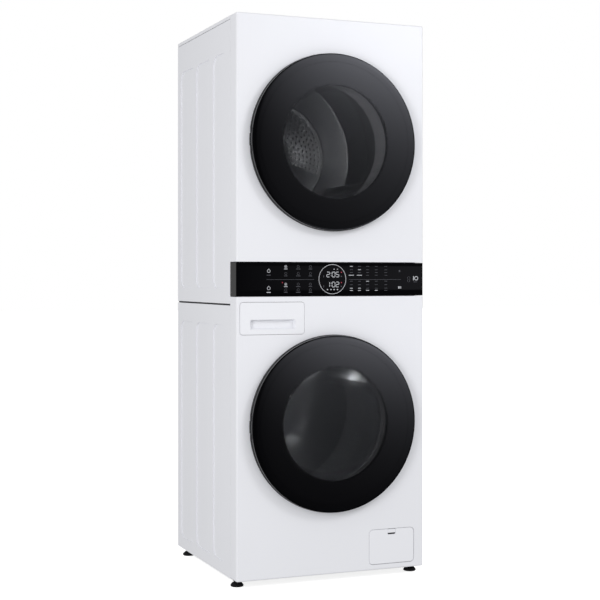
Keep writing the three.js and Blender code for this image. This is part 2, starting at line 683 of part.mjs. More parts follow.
function tubRear() {
  const wall = TUB_RADIUS - TUB_WALL;
  const bore = SHAFT_RADIUS + GAP;
  const shell = ring([
    [TUB_RADIUS + TUB_FLANGE, TUB_JOINT], [TUB_RADIUS + TUB_FLANGE, TUB_JOINT + 8], [TUB_RADIUS, TUB_JOINT + 8],
    [TUB_RADIUS, TUB_BACK], [HUB_RADIUS, TUB_BACK], [HUB_RADIUS, TUB_BACK + 28], [bore, TUB_BACK + 28],
    [bore, TUB_BACK - 14], [HUB_RADIUS, TUB_BACK - 14], [HUB_RADIUS, TUB_BACK - TUB_WALL],
    [wall, TUB_BACK - TUB_WALL], [wall, TUB_JOINT],
  ]);
  const lugs = [];
  for (const side of [-1, 1]) {
    const spring = [side * (SPRING_X - 12), side * (TUB_RADIUS + TUB_FLANGE)].sort((a, b) => a - b);
    lugs.push(block(spring, [SPRING_Y - 9, SPRING_Y + 9], [SPRING_Z - SPRING_LUG, SPRING_Z]));
    const damper = [side * DAMPER_X - 10, side * DAMPER_X + 10];
    lugs.push(block(damper, [DAMPER_Y - 10, DAMPER_Y + 10], [DAMPER_Z, DAMPER_Z + DAMPER_LUG]));
  }
  const solid = join(shell, ...lugs);
  return cut(solid, rodY(wall - 1, TUB_JOINT + 1, TUB_BACK - TUB_WALL - 1, 0, 0, ROUND));
}

function gasket() {
  const inner = OPENING_RADIUS - 4;
  return ring([
    [inner, SKIN + 2 * GAP], [inner + 14, SKIN + 2 * GAP], [inner + 14, 10], [inner + 8, 20],
    [inner + 24, 34], [inner + 24, 52], [inner + 20, 52], [inner + 20, 36], [inner + 3, 22], [inner, 12],
  ]);
}

function counterweight() {
  const slab = block([-75, 175], [TUB_JOINT + 18, TUB_BACK - 30], [180, 300]);
  return cut(slab, rodY(TUB_RADIUS + GAP, 0, BODY_DEPTH, 0, 0, ROUND));
}

function stator() {
  return ring([
    [HUB_RADIUS + 5, TUB_BACK + GAP], [80, TUB_BACK + GAP], [80, TUB_BACK + 6], [118, TUB_BACK + 6],
    [118, TUB_BACK + 30], [HUB_RADIUS + 5, TUB_BACK + 30],
  ]);
}

function rotor() {
  const bore = SHAFT_RADIUS + GAP;
  const [front, back] = [TUB_BACK + 4, TUB_BACK + 41];
  return ring([
    [122, front], [127, front], [127, back], [34, back], [34, back + 7], [bore, back + 7],
    [bore, back - 10], [34, back - 10], [34, back - 4], [122, back - 4],
  ]);
}

function washerDrum() {
  const wall = WASHER_DRUM_RADIUS - WASHER_DRUM_WALL;
  return turned([
    [0, DRUM_BACK - 3], [wall, DRUM_BACK - 3], [wall, WASHER_DRUM_FRONT + 3], [190, WASHER_DRUM_FRONT + 3],
    [190, WASHER_DRUM_FRONT], [WASHER_DRUM_RADIUS, WASHER_DRUM_FRONT], [WASHER_DRUM_RADIUS, DRUM_BACK],
    [0, DRUM_BACK],
  ]);
}

function spider() {
  const start = DRUM_BACK + GAP;
  const shaft = turned([
    [0, start], [60, start], [60, start + 12], [35, start + 22], [SHAFT_RADIUS, start + 22],
    [SHAFT_RADIUS, TUB_BACK + 52], [0, TUB_BACK + 52],
  ]);
  const arms = [0, 1, 2].map((i) => (
    block([-17, 17], [start, start + 14], [20, WASHER_DRUM_RADIUS - 20]).rotateY((i * 2 * Math.PI) / 3)
  ));
  return join(shaft, ...arms);
}

// A lifter sits on the flat of the drum's wall, clear of its facets.
function lifterOutline(drumInner, height, half) {
  const seat = drumInner * Math.cos(Math.PI / ROUND) - 2 * GAP;
  const foot = Math.sqrt(seat * seat - half * half);
  return new THREE.Shape([
    new THREE.Vector2(-half, -foot), new THREE.Vector2(half, -foot), new THREE.Vector2(half - 10, -foot + 14),
    new THREE.Vector2(10, height - seat), new THREE.Vector2(-10, height - seat),
    new THREE.Vector2(10 - half, -foot + 14),
  ]);
}

place(washer, "washer_tub_front", tubFront(), greyPlastic);
place(washer, "washer_tub_rear", tubRear(), greyPlastic);
place(washer, "door_gasket", gasket(), greyRubber);
place(washer, "counterweight", counterweight(), concrete);
place(washer, "motor_stator", stator(), copper);
place(washer, "motor_rotor", rotor(), zincSheet);
place(washer, "washer_drum", washerDrum(), steel);
place(washer, "drum_spider", spider(), castAluminium);
for (let i = 0; i < 3; i += 1) {
  const outline = lifterOutline(WASHER_DRUM_RADIUS - WASHER_DRUM_WALL, LIFTER_HEIGHT, 32);
  const lifter = facing(outline, [WASHER_DRUM_FRONT + 15, DRUM_BACK - 18]);
  place(washer, `washer_lifter_${i + 1}`, lifter, greyPlastic).rotation.y = (i * 2 * Math.PI) / 3;
}

function spring() {
  return rodZ(11, SPRING_Z + GAP, DECK_Z - WASHER_Z - GAP);
}

function damper() {
  const bottom = FOOT_HEIGHT + PAN_FLOOR - WASHER_Z + GAP;
  const top = DAMPER_Z - GAP;
  const middle = (bottom + top) / 2;
  const profile = [[0, bottom], [15, bottom], [15, middle], [6, middle], [6, top], [0, top]];
  return turned(profile, SMALL).rotateX(Math.PI / 2);
}

for (const [name, side] of [["left", -1], ["right", 1]]) {
  place(washer, `suspension_spring_${name}`, spring(), steel).position.set(side * SPRING_X, SPRING_Y, 0);
  place(washer, `damper_${name}`, damper(), blackPlastic).position.set(side * DAMPER_X, DAMPER_Y, 0);
}

// ---- Dryer: bulkheads, drum and drive -----------------------------------------------------------

const dryer = stationAt(0, DRYER_Z);
const THROAT_WALL = 3;
const THROAT_BACK = DRYER_DRUM_FRONT - 4;
const BULKHEAD_HALF = HALF - 10;
const BULKHEAD = [-300, 330]; // below and above the drum's axis
const DRYER_BACK = DRYER_DRUM_FRONT + DRYER_DRUM_DEPTH;
const SPINDLE_RADIUS = 12;
const FILTER_HALF = 86;
const FILTER_THICKNESS = 16;
const FILTER_FRONT = DRYER_BOWL_DEPTH + 8;
const FILTER_BOTTOM = -315;
const DUCT_PLAY = 2;

function bulkheadFront() {
  const y = [THROAT_BACK - THROAT_WALL, THROAT_BACK];
  const plate = block([-BULKHEAD_HALF, BULKHEAD_HALF], y, BULKHEAD);
  const throat = rodY(OPENING_RADIUS + THROAT_WALL, SKIN + GAP, THROAT_BACK, 0, 0, ROUND);
  const across = grown([-FILTER_HALF, FILTER_HALF], DUCT_PLAY);
  const along = grown([FILTER_FRONT, FILTER_FRONT + FILTER_THICKNESS], DUCT_PLAY);
  const down = [FILTER_BOTTOM - 3, -OPENING_RADIUS * 0.8];
  const duct = block(grown(across, SHEET), [along[0] - SHEET, THROAT_BACK - 1], [down[0] - SHEET, down[1]]);
  return cut(
    join(plate, throat, duct), rodY(OPENING_RADIUS, -1, BODY_DEPTH, 0, 0, ROUND), block(across, along, down),
    block([-60, 60], grown(along, -DUCT_PLAY), [down[0] - 10, down[0] + 1]),
  );
}

function lintFilter() {
  const x = [-FILTER_HALF, FILTER_HALF];
  const y = [FILTER_FRONT, FILTER_FRONT + FILTER_THICKNESS];
  const top = -OPENING_RADIUS - 2;
  const frame = block(x, y, [FILTER_BOTTOM, top]);
  const window = [grown(x, -8), [FILTER_BOTTOM + 8, top - 18]];
  const middle = (y[0] + y[1]) / 2;
  const handle = block([-30, 30], [middle - 3, middle + 3], [top - 1, top + 12]);
  return join(cut(
    frame,
    block(window[0], [y[0] - 1, middle - 1], window[1]),
    block(window[0], [middle + 1, y[1] + 1], window[1]),
  ), handle);
}

function dryerDrum() {
  const wall = DRYER_DRUM_RADIUS - DRYER_DRUM_WALL;
  const shell = turned([
    [0, DRYER_BACK - 3], [wall, DRYER_BACK - 3], [wall, DRYER_DRUM_FRONT + 3], [205, DRYER_DRUM_FRONT + 3],
    [205, DRYER_DRUM_FRONT], [DRYER_DRUM_RADIUS, DRYER_DRUM_FRONT], [DRYER_DRUM_RADIUS, DRYER_BACK],
    [SPINDLE_RADIUS, DRYER_BACK], [SPINDLE_RADIUS, DRYER_BACK + 30], [0, DRYER_BACK + 30],
  ]);
  const lifters = [0, 1, 2].map((i) => facing(new THREE.Shape([
    new THREE.Vector2(-38, 1 - wall), new THREE.Vector2(38, 1 - wall),
    new THREE.Vector2(12, 60 - wall), new THREE.Vector2(-12, 60 - wall),
  ]), [DRYER_DRUM_FRONT + 16, DRYER_BACK - 1]).rotateY((i * 2 * Math.PI) / 3));
  return join(shell, ...lifters);
}

function bulkheadRear() {
  const y = [DRYER_BACK + 12, DRYER_BACK + 15];
  const plate = block([-BULKHEAD_HALF, BULKHEAD_HALF], y, [-294, 294]);
  const hub = rodY(34, y[0] - 4, DRYER_BACK + 28);
  return cut(join(plate, hub), rodY(SPINDLE_RADIUS + GAP, 0, BODY_DEPTH, 0, 0, ROUND));
}

const MOTOR_X = 165;
const MOTOR_Z = DECK_Z + DECK_FLOOR + 85 - DRYER_Z;
const PULLEY_DEPTH = [305, 329];
const MOTOR_DEPTH = [335, 480];
const MOTOR_SHAFT = 8;

function dryerMotor() {
  const can = rodY(50, ...MOTOR_DEPTH, MOTOR_X, MOTOR_Z, MEDIUM);
  const base = DECK_Z + DECK_FLOOR + GAP - DRYER_Z;
  return join(can, block([MOTOR_X - 40, MOTOR_X + 40], grown(MOTOR_DEPTH, -10), [base, MOTOR_Z]));
}

function motorPulley() {
  const shaft = rodY(MOTOR_SHAFT, PULLEY_DEPTH[1] - 1, MOTOR_DEPTH[0] - GAP, MOTOR_X, MOTOR_Z);
  return join(rodY(PULLEY_RADIUS, ...PULLEY_DEPTH, MOTOR_X, MOTOR_Z, MEDIUM), shaft);
}

// The belt runs round the drum and the pulley along their outer tangents.
function beltLoop(extra) {
  const clear = (radius, segments) => (radius + GAP) / Math.cos(Math.PI / segments) + extra;
  const big = clear(DRYER_DRUM_RADIUS, ROUND);
  const small = clear(PULLEY_RADIUS, MEDIUM);
  const distance = Math.hypot(MOTOR_X, MOTOR_Z);
  const toPulley = Math.atan2(MOTOR_Z, MOTOR_X);
  const spread = Math.acos((big - small) / distance);
  const loop = new THREE.Path();
  loop.absarc(0, 0, big, toPulley + spread, toPulley - spread + 2 * Math.PI);
  loop.absarc(MOTOR_X, MOTOR_Z, small, toPulley - spread, toPulley + spread);
  loop.closePath();
  return loop;
}

function belt() {
  const outline = new THREE.Shape(beltLoop(BELT_THICKNESS).getPoints(ROUND / 2));
  outline.holes.push(beltLoop(0));
  return facing(outline, grown(PULLEY_DEPTH, -4), ROUND / 2);
}

const DUCT_X = -150;
const DUCT_Z = SEAM_Z + 88 - DRYER_Z;
const DUCT_RADIUS = 48;

function exhaustDuct() {
  const rear = BODY_DEPTH - SHEET - GAP;
  return ring([
    [DUCT_RADIUS - 2, 380], [DUCT_RADIUS, 380], [DUCT_RADIUS, rear - 4], [DUCT_RADIUS + 14, rear - 4],
    [DUCT_RADIUS + 14, rear], [DUCT_RADIUS, rear], [DUCT_RADIUS, BODY_DEPTH + REAR_PROUD],
    [DUCT_RADIUS - 2, BODY_DEPTH + REAR_PROUD],
  ], MEDIUM);
}

place(dryer, "dryer_bulkhead_front", bulkheadFront(), whitePlastic);
place(dryer, "dryer_bulkhead_rear", bulkheadRear(), zincSheet);
place(dryer, "dryer_drum", dryerDrum(), steel);
place(dryer, "lint_filter", lintFilter(), greyPlastic);
place(dryer, "dryer_motor", dryerMotor(), zincSheet);
place(dryer, "motor_pulley", motorPulley(), steel);
place(dryer, "drive_belt", belt(), blackRubber);
place(dryer, "exhaust_duct", exhaustDuct(), zincSheet).position.set(DUCT_X, 0, DUCT_Z);

// ---- Rear: sheets, cover, water inlet and mains gland -------------------------------------------

const COVER_RADIUS = 175;
const GLAND = { x: 70 - HALF, z: SEAM_Z - 62, radius: 11 };
const INLET_X = HALF - 100;
const INLET_Z = SEAM_Z - 78;
const PORT_SPACING = 34;
const PORT_RADIUS = 12;
const portXs = [INLET_X - PORT_SPACING / 2, INLET_X + PORT_SPACING / 2];

function rearPanel([z0, z1], holes) {
  const sheet = block([SHEET + GAP - HALF, HALF - SHEET - GAP], [BODY_DEPTH - SHEET, BODY_DEPTH], [z0, z1]);
  return cut(sheet, ...holes);
}

function rearHole(radius, x, z, segments = SMALL) {
  return rodY(radius, BODY_DEPTH - SHEET - 1, BODY_DEPTH + 1, x, z, segments);
}

function rearCover() {
  const lip = COVER_RADIUS - 20;
  const back = BODY_DEPTH + REAR_PROUD;
  return turned([
    [0, back - SHEET], [lip - 15, back - SHEET], [lip, REAR_FACE], [COVER_RADIUS, REAR_FACE],
    [COVER_RADIUS, REAR_FACE + SHEET], [lip + 1.5, REAR_FACE + SHEET], [lip - 14, back], [0, back],
  ]);
}

function inletValve() {
  const rear = BODY_DEPTH - SHEET - GAP;
  const body = block([INLET_X - 35, INLET_X + 35], [rear - 45, rear], [INLET_Z - 22, INLET_Z + 22]);
  const ports = portXs.map((x) => rodY(PORT_RADIUS, rear - 1, BODY_DEPTH + REAR_PROUD - 4, x, INLET_Z));
  return join(body, ...ports);
}

function mainsGland() {
  const { radius } = GLAND;
  return turned([
    [0, BODY_DEPTH - 8], [radius - GAP, BODY_DEPTH - 8], [radius - GAP, REAR_FACE], [radius + 5, REAR_FACE],
    [radius + 5, REAR_FACE + 4], [radius - 3, REAR_FACE + 6], [radius - 3, REAR_FACE + 18], [0, REAR_FACE + 18],
  ], SMALL);
}

const lowerHoles = [
  rearHole(COVER_RADIUS - 25, 0, WASHER_Z, ROUND), rearHole(GLAND.radius, GLAND.x, GLAND.z),
  ...portXs.map((x) => rearHole(PORT_RADIUS + GAP, x, INLET_Z)),
];
place(cabinet, "rear_panel_lower", rearPanel(lowerSpan, lowerHoles), zincSheet);
const upperHoles = [rearHole(DUCT_RADIUS + GAP, DUCT_X, DUCT_Z + DRYER_Z, MEDIUM)];
place(cabinet, "rear_panel_upper", rearPanel(upperSpan, upperHoles), zincSheet);
place(washer, "rear_cover", rearCover(), zincSheet);
place(cabinet, "inlet_valve", inletValve(), whitePlastic);
place(cabinet, "mains_gland", mainsGland(), blackPlastic).position.set(GLAND.x, 0, GLAND.z);

export default part;
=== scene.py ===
"""Washer dryer stack: a front-loading washer with a dryer on top and one control band between them.

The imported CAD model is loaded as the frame. Each operator models one piece, or one group of like
pieces, in the same frame: metres, X to the right, the front facing -Y, Z up from the floor.
Depths are measured backwards from the front plane, in millimetres.
"""

import math

import bmesh
import bpy
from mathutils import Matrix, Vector


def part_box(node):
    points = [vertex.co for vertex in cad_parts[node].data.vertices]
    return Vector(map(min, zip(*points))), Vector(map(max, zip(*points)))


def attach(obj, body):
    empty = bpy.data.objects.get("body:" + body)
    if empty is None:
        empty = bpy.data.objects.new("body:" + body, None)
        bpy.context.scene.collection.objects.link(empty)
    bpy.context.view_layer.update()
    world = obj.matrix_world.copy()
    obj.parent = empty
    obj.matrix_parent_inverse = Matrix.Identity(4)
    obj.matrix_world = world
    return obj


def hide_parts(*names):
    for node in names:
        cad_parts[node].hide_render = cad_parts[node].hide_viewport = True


bl_info = {
    "name": "Washer dryer stack",
    "version": (1, 0, 0),
    "blender": (4, 5, 0),
    "location": "View3D > Sidebar > Laundry",
    "description": "Models the visible pieces of a stacked washer and dryer around its packed frame",
    "category": "Object",
}

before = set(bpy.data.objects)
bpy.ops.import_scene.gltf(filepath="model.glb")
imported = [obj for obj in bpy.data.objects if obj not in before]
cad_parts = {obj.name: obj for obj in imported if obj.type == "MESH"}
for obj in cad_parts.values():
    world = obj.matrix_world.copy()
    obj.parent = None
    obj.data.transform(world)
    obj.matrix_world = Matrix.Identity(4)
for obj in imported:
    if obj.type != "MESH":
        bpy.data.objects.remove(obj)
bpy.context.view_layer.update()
FRONT = -0.288  # the front plane, in metres; the lengths below are in millimetres
HALF = 300  # half the cabinet's width
TOP = 1660
REAR = 576  # depth of the cabinet's sheets
FOLD = 54  # how far the front runs round onto the sides
SIDE_START = FOLD + 1.5  # the side sheets and the top begin behind a seam
WASHER_Z = 467.0
DRYER_Z = 1294.5
BAND_Z = 892.0
OPENING_RADIUS = 184  # the loading openings
HINGE = (-254.5, -12.5)  # x and depth of the door hinges' axis
LUG_SPANS = ((-34.3, -17.7), (17.7, 34.3))  # room for the hinge lugs, in height from a door's middle
SLOT_SPANS = ((-35, -17), (17, 35))  # slots in the front panels for the hinge brackets
WASHER = {"name": "washer", "z": WASHER_Z, "bowl": 88.0}
DRYER = {"name": "dryer", "z": DRYER_Z, "bowl": 60.0}


def to_linear(code):
    """The linear RGB of an sRGB hex colour."""
    parts = [int(code[i:i + 2], 16) / 255 for i in (0, 2, 4)]
    return tuple(c / 12.92 if c <= 0.04045 else ((c + 0.055) / 1.055) ** 2.4 for c in parts)


def length_property(label, text, millimetres):
    """A length that the user sets, with its default in millimetres."""
    return bpy.props.FloatProperty(name=label, description=text, default=millimetres / 1000,
                                   min=0.0, unit="LENGTH", subtype="DISTANCE")


def colour_property(label, text, code):
    """A colour that the user sets, with its default as a hex value."""
    return bpy.props.FloatVectorProperty(name=label, description=text, default=to_linear(code),
                                         size=3, min=0.0, max=1.0, subtype="COLOR")


class StackSizes(bpy.types.PropertyGroup):
    """Sizes of the fine surface that the frame leaves open."""

    corner: length_property("Cabinet corner", "Rounding of the front's upright and outer edges", 5)
    skin: length_property("Front skin", "Thickness of the front sheets", 2.5)
    hem: length_property("Edge rounding", "Rounding of the cut edges of sheets and mouldings", 1.1)
    press_edge: length_property("Pressed edge", "Rounding where the side panels are pressed in", 1.4)
    ring_radius: length_property("Display ring", "Radius of the printed ring round the display", 44)
    ring_width: length_property("Ring line", "Width of the printed ring", 1.5)
    digit_height: length_property("Digit height", "Height of the time digits", 16.5)
    washer_hole: length_property("Washer drum hole", "Radius of the washer drum's holes", 2.6)
    dryer_hole: length_property("Dryer drum hole", "Radius of the dryer rear wall's holes", 4.0)
    window_radius: length_property("Door window", "Radius of the see-through middle of a door", 168)
    round_steps: bpy.props.IntProperty(
        name="Round steps", description="Segments of the largest circles", default=128, min=24, max=256)


class StackColours(bpy.types.PropertyGroup):
    """Colours of the finishes."""

    enamel: colour_property("Enamel", "White baked enamel of the sheets", "F1F2F7")
    moulding: colour_property("White mouldings", "Drawer front and filter door", "F3F4F9")
    band: colour_property("Control band", "Black glass of the control band", "08080A")
    rim: colour_property("Door rim", "Gloss black ring of the doors", "08080A")
    tint: colour_property("Door tint", "Dark tint of the door glass", "0A0A0C")
    digits: colour_property("Digits", "Lit digits and marks", "B4B6BA")
    print_grey: colour_property("Printed marks", "Unlit printed marks", "4A4B50")
    ring: colour_property("Ring line colour", "Printed ring round the display", "B9BABE")
    alert: colour_property("Red marks", "Small red marks", "A03040")
    steel: colour_property("Drum steel", "Stainless sheet of the drums", "B4B6B9")
    zinc: colour_property("Zinc coat", "Galvanised sheet", "A9ACAE")
    black: colour_property("Black plastic", "Matte black mouldings", "26262A")
    grey: colour_property("Grey plastic", "Inner mouldings", "9A9DA1")
    seal: colour_property("Seal rubber", "Folded rubber of the door seal", "86888B")


# ---- Modelling with operators -----------------------------------------------------------------

def depth(value):
    """Y in metres of a depth in millimetres behind the front plane."""
    return FRONT + value / 1000


def sizes():
    """The sizes that the user sets."""
    return bpy.context.scene.stack_sizes


def colour_of(key):
    """One of the colours that the user sets."""
    return tuple(getattr(bpy.context.scene.stack_colours, key))


def deselect():
    """Leaves edit mode and deselects everything."""
    if bpy.context.object and bpy.context.object.mode != "OBJECT":
        bpy.ops.object.mode_set(mode="OBJECT")
    bpy.ops.object.select_all(action="DESELECT")


def pick(obj):
    """Makes obj the only selected and the active object."""
    deselect()
    obj.select_set(True)
    bpy.context.view_layer.objects.active = obj
    return obj


def settle(obj, name=None):
    """Puts an object's place into its mesh, so that the object sits at the origin."""
    pick(obj)
    bpy.ops.object.transform_apply(location=True, rotation=True, scale=True)
    if name:
        obj.name = obj.data.name = name
    return obj


def swing(obj, angle, height):
    """Turns an object about the Y axis through x = 0 at a height in millimetres, and settles it."""
    pick(obj)
    bpy.ops.transform.rotate(value=angle, orient_axis="Y", center_override=(0, 0, height / 1000))
    return settle(obj)


def slab(name, x, y, z):
    """A box between two limits on each axis, in millimetres; y is a pair of depths."""
    deselect()
    low = Vector((x[0] / 1000, depth(y[0]), z[0] / 1000))
    high = Vector((x[1] / 1000, depth(y[1]), z[1] / 1000))
    bpy.ops.mesh.primitive_cube_add(size=1, location=(low + high) / 2, scale=high - low)
    return settle(bpy.context.object, name)


def rod(name, radius, x, y, z, steps=32):
    """A round bar whose long axis is the one given as a pair; the other two are its centre."""
    deselect()
    spans = [v if isinstance(v, tuple) else (v, v) for v in (x, y, z)]
    axis = next(i for i, v in enumerate((x, y, z)) if isinstance(v, tuple))
    low = Vector((spans[0][0] / 1000, depth(spans[1][0]), spans[2][0] / 1000))
    high = Vector((spans[0][1] / 1000, depth(spans[1][1]), spans[2][1] / 1000))
    turn = [(0, math.pi / 2, 0), (math.pi / 2, 0, 0), (0, 0, 0)][axis]
    bpy.ops.mesh.primitive_cylinder_add(
        vertices=steps, radius=radius / 1000, depth=(high - low).length,
        location=(low + high) / 2, rotation=turn)
    return settle(bpy.context.object, name)


def copied(obj, name, shift):
    """A copy with its own mesh, moved by millimetres."""
    pick(obj)
    bpy.ops.object.duplicate()
    twin = bpy.context.object
    twin.location = Vector(shift) / 1000
    return settle(twin, name)


def choose(obj, kind, test):
    """In edit mode, selects the faces or edges that the test accepts. Leaves edit mode on."""
    pick(obj)
    bpy.ops.object.mode_set(mode="EDIT")
    bpy.ops.mesh.select_mode(type="FACE" if kind == "faces" else "EDGE")
    bpy.ops.mesh.select_all(action="DESELECT")
    mesh = bmesh.from_edit_mesh(obj.data)
    for item in getattr(mesh, kind):
        if test(item):
            item.select_set(True)
    mesh.select_flush_mode()
    bmesh.update_edit_mesh(obj.data)


def done():
    """Leaves edit mode."""
    bpy.ops.object.mode_set(mode="OBJECT")


def along(edge, axis):
    """True if an edge runs along an axis, 0 to 2."""
    line = edge.verts[1].co - edge.verts[0].co
    return abs(line[axis]) > 0.999 * line.length


def lies_at(edge, axis, place):
    """True if both ends of an edge are at a place along an axis, in metres."""
    return all(abs(v.co[axis] - place) < 1e-5 for v in edge.verts)


def round_edges(obj, test, width, steps=5):
    """Bevels the edges that the test accepts; width in millimetres."""
    choose(obj, "edges", test)
    bpy.ops.mesh.bevel(offset=width / 1000, segments=steps, affect="EDGES", profile=0.5)
    done()
    return obj


def apply(obj, kind, **settings):
    """Adds a modifier and applies it."""
    pick(obj)
    made = obj.modifiers.new(kind.title(), kind)
    for key, value in settings.items():
        setattr(made, key, value)
    bpy.ops.object.modifier_apply(modifier=made.name)
    return obj


def drop(*things):
    """Deletes objects."""
    for thing in things:
        bpy.data.objects.remove(thing)


def combine(obj, others, operation="DIFFERENCE"):
    """Cuts others out of obj, or joins them to it, and removes them."""
    for other in others:
        apply(obj, "BOOLEAN", object=other, operation=operation, solver="MANIFOLD")
        drop(other)
    return obj


def merge(pieces, name):
    """Several meshes as one object."""
    deselect()
    for piece in pieces:
        piece.select_set(True)
    bpy.context.view_layer.objects.active = pieces[0]
    if len(pieces) > 1:
        bpy.ops.object.join()
    pieces[0].name = pieces[0].data.name = name
    return pieces[0]


def tidy_mesh(obj):
    """Merges doubled points and turns the faces outwards."""
    pick(obj)
    bpy.ops.object.mode_set(mode="EDIT")
    bpy.ops.mesh.select_all(action="SELECT")
    bpy.ops.mesh.remove_doubles(threshold=0.00001)
    bpy.ops.mesh.normals_make_consistent(inside=False)
    done()
    return obj


def soften(obj, width, steps=2, angle=32.0):
    """Rounds every edge sharper than the angle and shades the rest smooth; width in metres."""
    if width:
        apply(obj, "BEVEL", width=width, segments=steps, limit_method="ANGLE",
              angle_limit=math.radians(angle), harden_normals=False, use_clamp_overlap=True,
              miter_outer="MITER_ARC")
    pick(obj)
    bpy.ops.object.shade_smooth_by_angle(angle=math.radians(35))
    if width:
        apply(obj, "WEIGHTED_NORMAL", keep_sharp=True)
    return obj


def turned(name, profile, centre, steps=None, about="Y"):
    """A closed profile of (radius, depth) turned about an axis. About Y the centre is (x, z) and
    the profile's second number a depth; about Z it is (x, depth) and the second number a height."""
    steps = steps or sizes().round_steps
    across, up = centre

    def place(point):
        if about == "Y":
            return Vector(((across + point[0]) / 1000, depth(point[1]), up / 1000))
        return Vector(((across + point[0]) / 1000, depth(up), point[1] / 1000))

    points = [place(p) for p in profile]
    deselect()
    bpy.ops.mesh.primitive_plane_add(size=0.01, location=points[0])
    obj = bpy.context.object
    bpy.ops.object.mode_set(mode="EDIT")
    bpy.ops.mesh.select_mode(type="VERT")
    bpy.ops.mesh.select_all(action="SELECT")
    bpy.ops.mesh.merge(type="CENTER")
    closed = profile[0][0] > 0 or profile[-1][0] > 0
    route = points[1:] + (points[:1] if closed else [])
    last = points[0]
    for point in route:
        bpy.ops.mesh.extrude_vertices_move(TRANSFORM_OT_translate={"value": point - last})
        last = point
    bpy.ops.mesh.select_all(action="SELECT")
    bpy.ops.mesh.remove_doubles(threshold=0.000001)
    axis = (0, 1, 0) if about == "Y" else (0, 0, 1)
    hub = (across / 1000, 0, up / 1000) if about == "Y" else (across / 1000, depth(up), 0)
    bpy.ops.mesh.select_all(action="SELECT")
    bpy.ops.mesh.spin(steps=steps, angle=math.tau, center=hub, axis=axis)
    done()
    settle(obj, name)
    return tidy_mesh(obj)


def repeat_round(obj, copies, sweep, centre):
    """Repeats a whole mesh about a Y axis through (x, z): copies in all, spread over the sweep."""
    pick(obj)
    bpy.ops.object.mode_set(mode="EDIT")
    bpy.ops.mesh.select_all(action="SELECT")
    bpy.ops.mesh.spin(dupli=True, steps=copies - 1, angle=sweep,
                      center=(centre[0] / 1000, 0, centre[1] / 1000), axis=(0, 1, 0))
    done()
    return obj


def rounded_plate(name, x, y, z, radius, axis, steps=6):
    """A slab whose four edges along one axis are rounded."""
    return round_edges(slab(name, x, y, z), lambda e: along(e, axis), radius, steps)


def outfit(obj, finish, body, replaces=()):
    """Gives a finished piece its material, its body and the nodes it stands for."""
    obj.data.materials.clear()
    obj.data.materials.append(finish)
    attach(obj, body)
    if replaces:
        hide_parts(*replaces)
    return obj


# ---- Materials --------------------------------------------------------------------------------

def add_node(tree, kind, inputs=None, **settings):
    """Adds a node with its settings; an input is a value or the socket to link to it."""
    made = tree.nodes.new(kind)
    for key, value in settings.items():
        setattr(made, key, value)
    for key, value in (inputs or {}).items():
        if isinstance(value, bpy.types.NodeSocket):
            tree.links.new(value, made.inputs[key])
        else:
            made.inputs[key].default_value = value
    return made


def new_finish(name, colour, roughness, **shader):
    """A material and its tree, shader and coordinates, which are None if it was made before."""
    made = bpy.data.materials.get(name)
    if made:
        return made, None, None, None
    made = bpy.data.materials.new(name)
    made.use_nodes = True
    tree = made.node_tree
    body = tree.nodes["Principled BSDF"]
    body.inputs["Base Color"].default_value = (*colour, 1)
    body.inputs["Roughness"].default_value = roughness
    for key, value in shader.items():
        body.inputs[key.replace("_", " ")].default_value = value
    place = add_node(tree, "ShaderNodeTexCoord").outputs["Object"]
    return made, tree, body, place


def grain(tree, place, size, stretch=(1, 1, 1)):
    """Noise whose features are about size millimetres across."""
    turned_to = add_node(tree, "ShaderNodeMapping", {"Vector": place, "Scale": stretch})
    return add_node(tree, "ShaderNodeTexNoise", {
        "Vector": turned_to.outputs["Vector"], "Scale": 1000 / size}).outputs["Fac"]


def spread(tree, value, low, high, start=0.3, end=0.7):
    """Maps a pattern onto a range."""
    return add_node(tree, "ShaderNodeMapRange", {
        "Value": value, "From Min": start, "From Max": end, "To Min": low, "To Max": high,
    }).outputs["Result"]


def blend_colours(tree, factor, first, second):
    """A pattern between two colours."""
    mixed = add_node(tree, "ShaderNodeMix", {"Factor": factor}, data_type="RGBA")
    mixed.inputs["A"].default_value = (*first, 1)
    mixed.inputs["B"].default_value = (*second, 1)
    return mixed.outputs["Result"]


def raise_surface(tree, body, height, strength, distance):
    """Links a height pattern to the shader as bump; distance in millimetres."""
    bump = add_node(tree, "ShaderNodeBump", {
        "Height": height, "Strength": strength, "Distance": distance / 1000})
    tree.links.new(bump.outputs["Normal"], body.inputs["Normal"])


def shade(colour, by):
    """A colour made darker or lighter by a factor."""
    return tuple(min(1.0, c * by) for c in colour)


def simple_finish(name, colour, roughness, size, vary=0.04, rough_vary=0.05, bump=0.08,
                  rise=0.05, stretch=(1, 1, 1), **shader):
    """A surface whose colour and gloss drift with one grain and whose relief follows it."""
    made, tree, body, place = new_finish(name, colour, roughness, **shader)
    if tree:
        pattern = grain(tree, place, size, stretch=stretch)
        broad = grain(tree, place, 140.0)
        tree.links.new(blend_colours(tree, broad, shade(colour, 1 - vary), shade(colour, 1 + vary)),
                       body.inputs["Base Color"])
        tree.links.new(spread(tree, pattern, roughness - rough_vary, roughness + rough_vary),
                       body.inputs["Roughness"])
        raise_surface(tree, body, pattern, bump, rise)
    return made


def enamel():
    # Baked polyester enamel on steel: satin gloss with a faint orange peel about 1.5 mm across.
    return simple_finish("baked_white_enamel", colour_of("enamel"), 0.33, 1.5, vary=0.008,
                         rough_vary=0.03, bump=0.05, rise=0.02)


def white_moulding():
    # Injection moulded ABS: a little softer in gloss than the enamel, with fine spark texture.
    return simple_finish("moulded_white_abs", colour_of("moulding"), 0.4, 0.8, vary=0.008,
                         bump=0.05, rise=0.02)


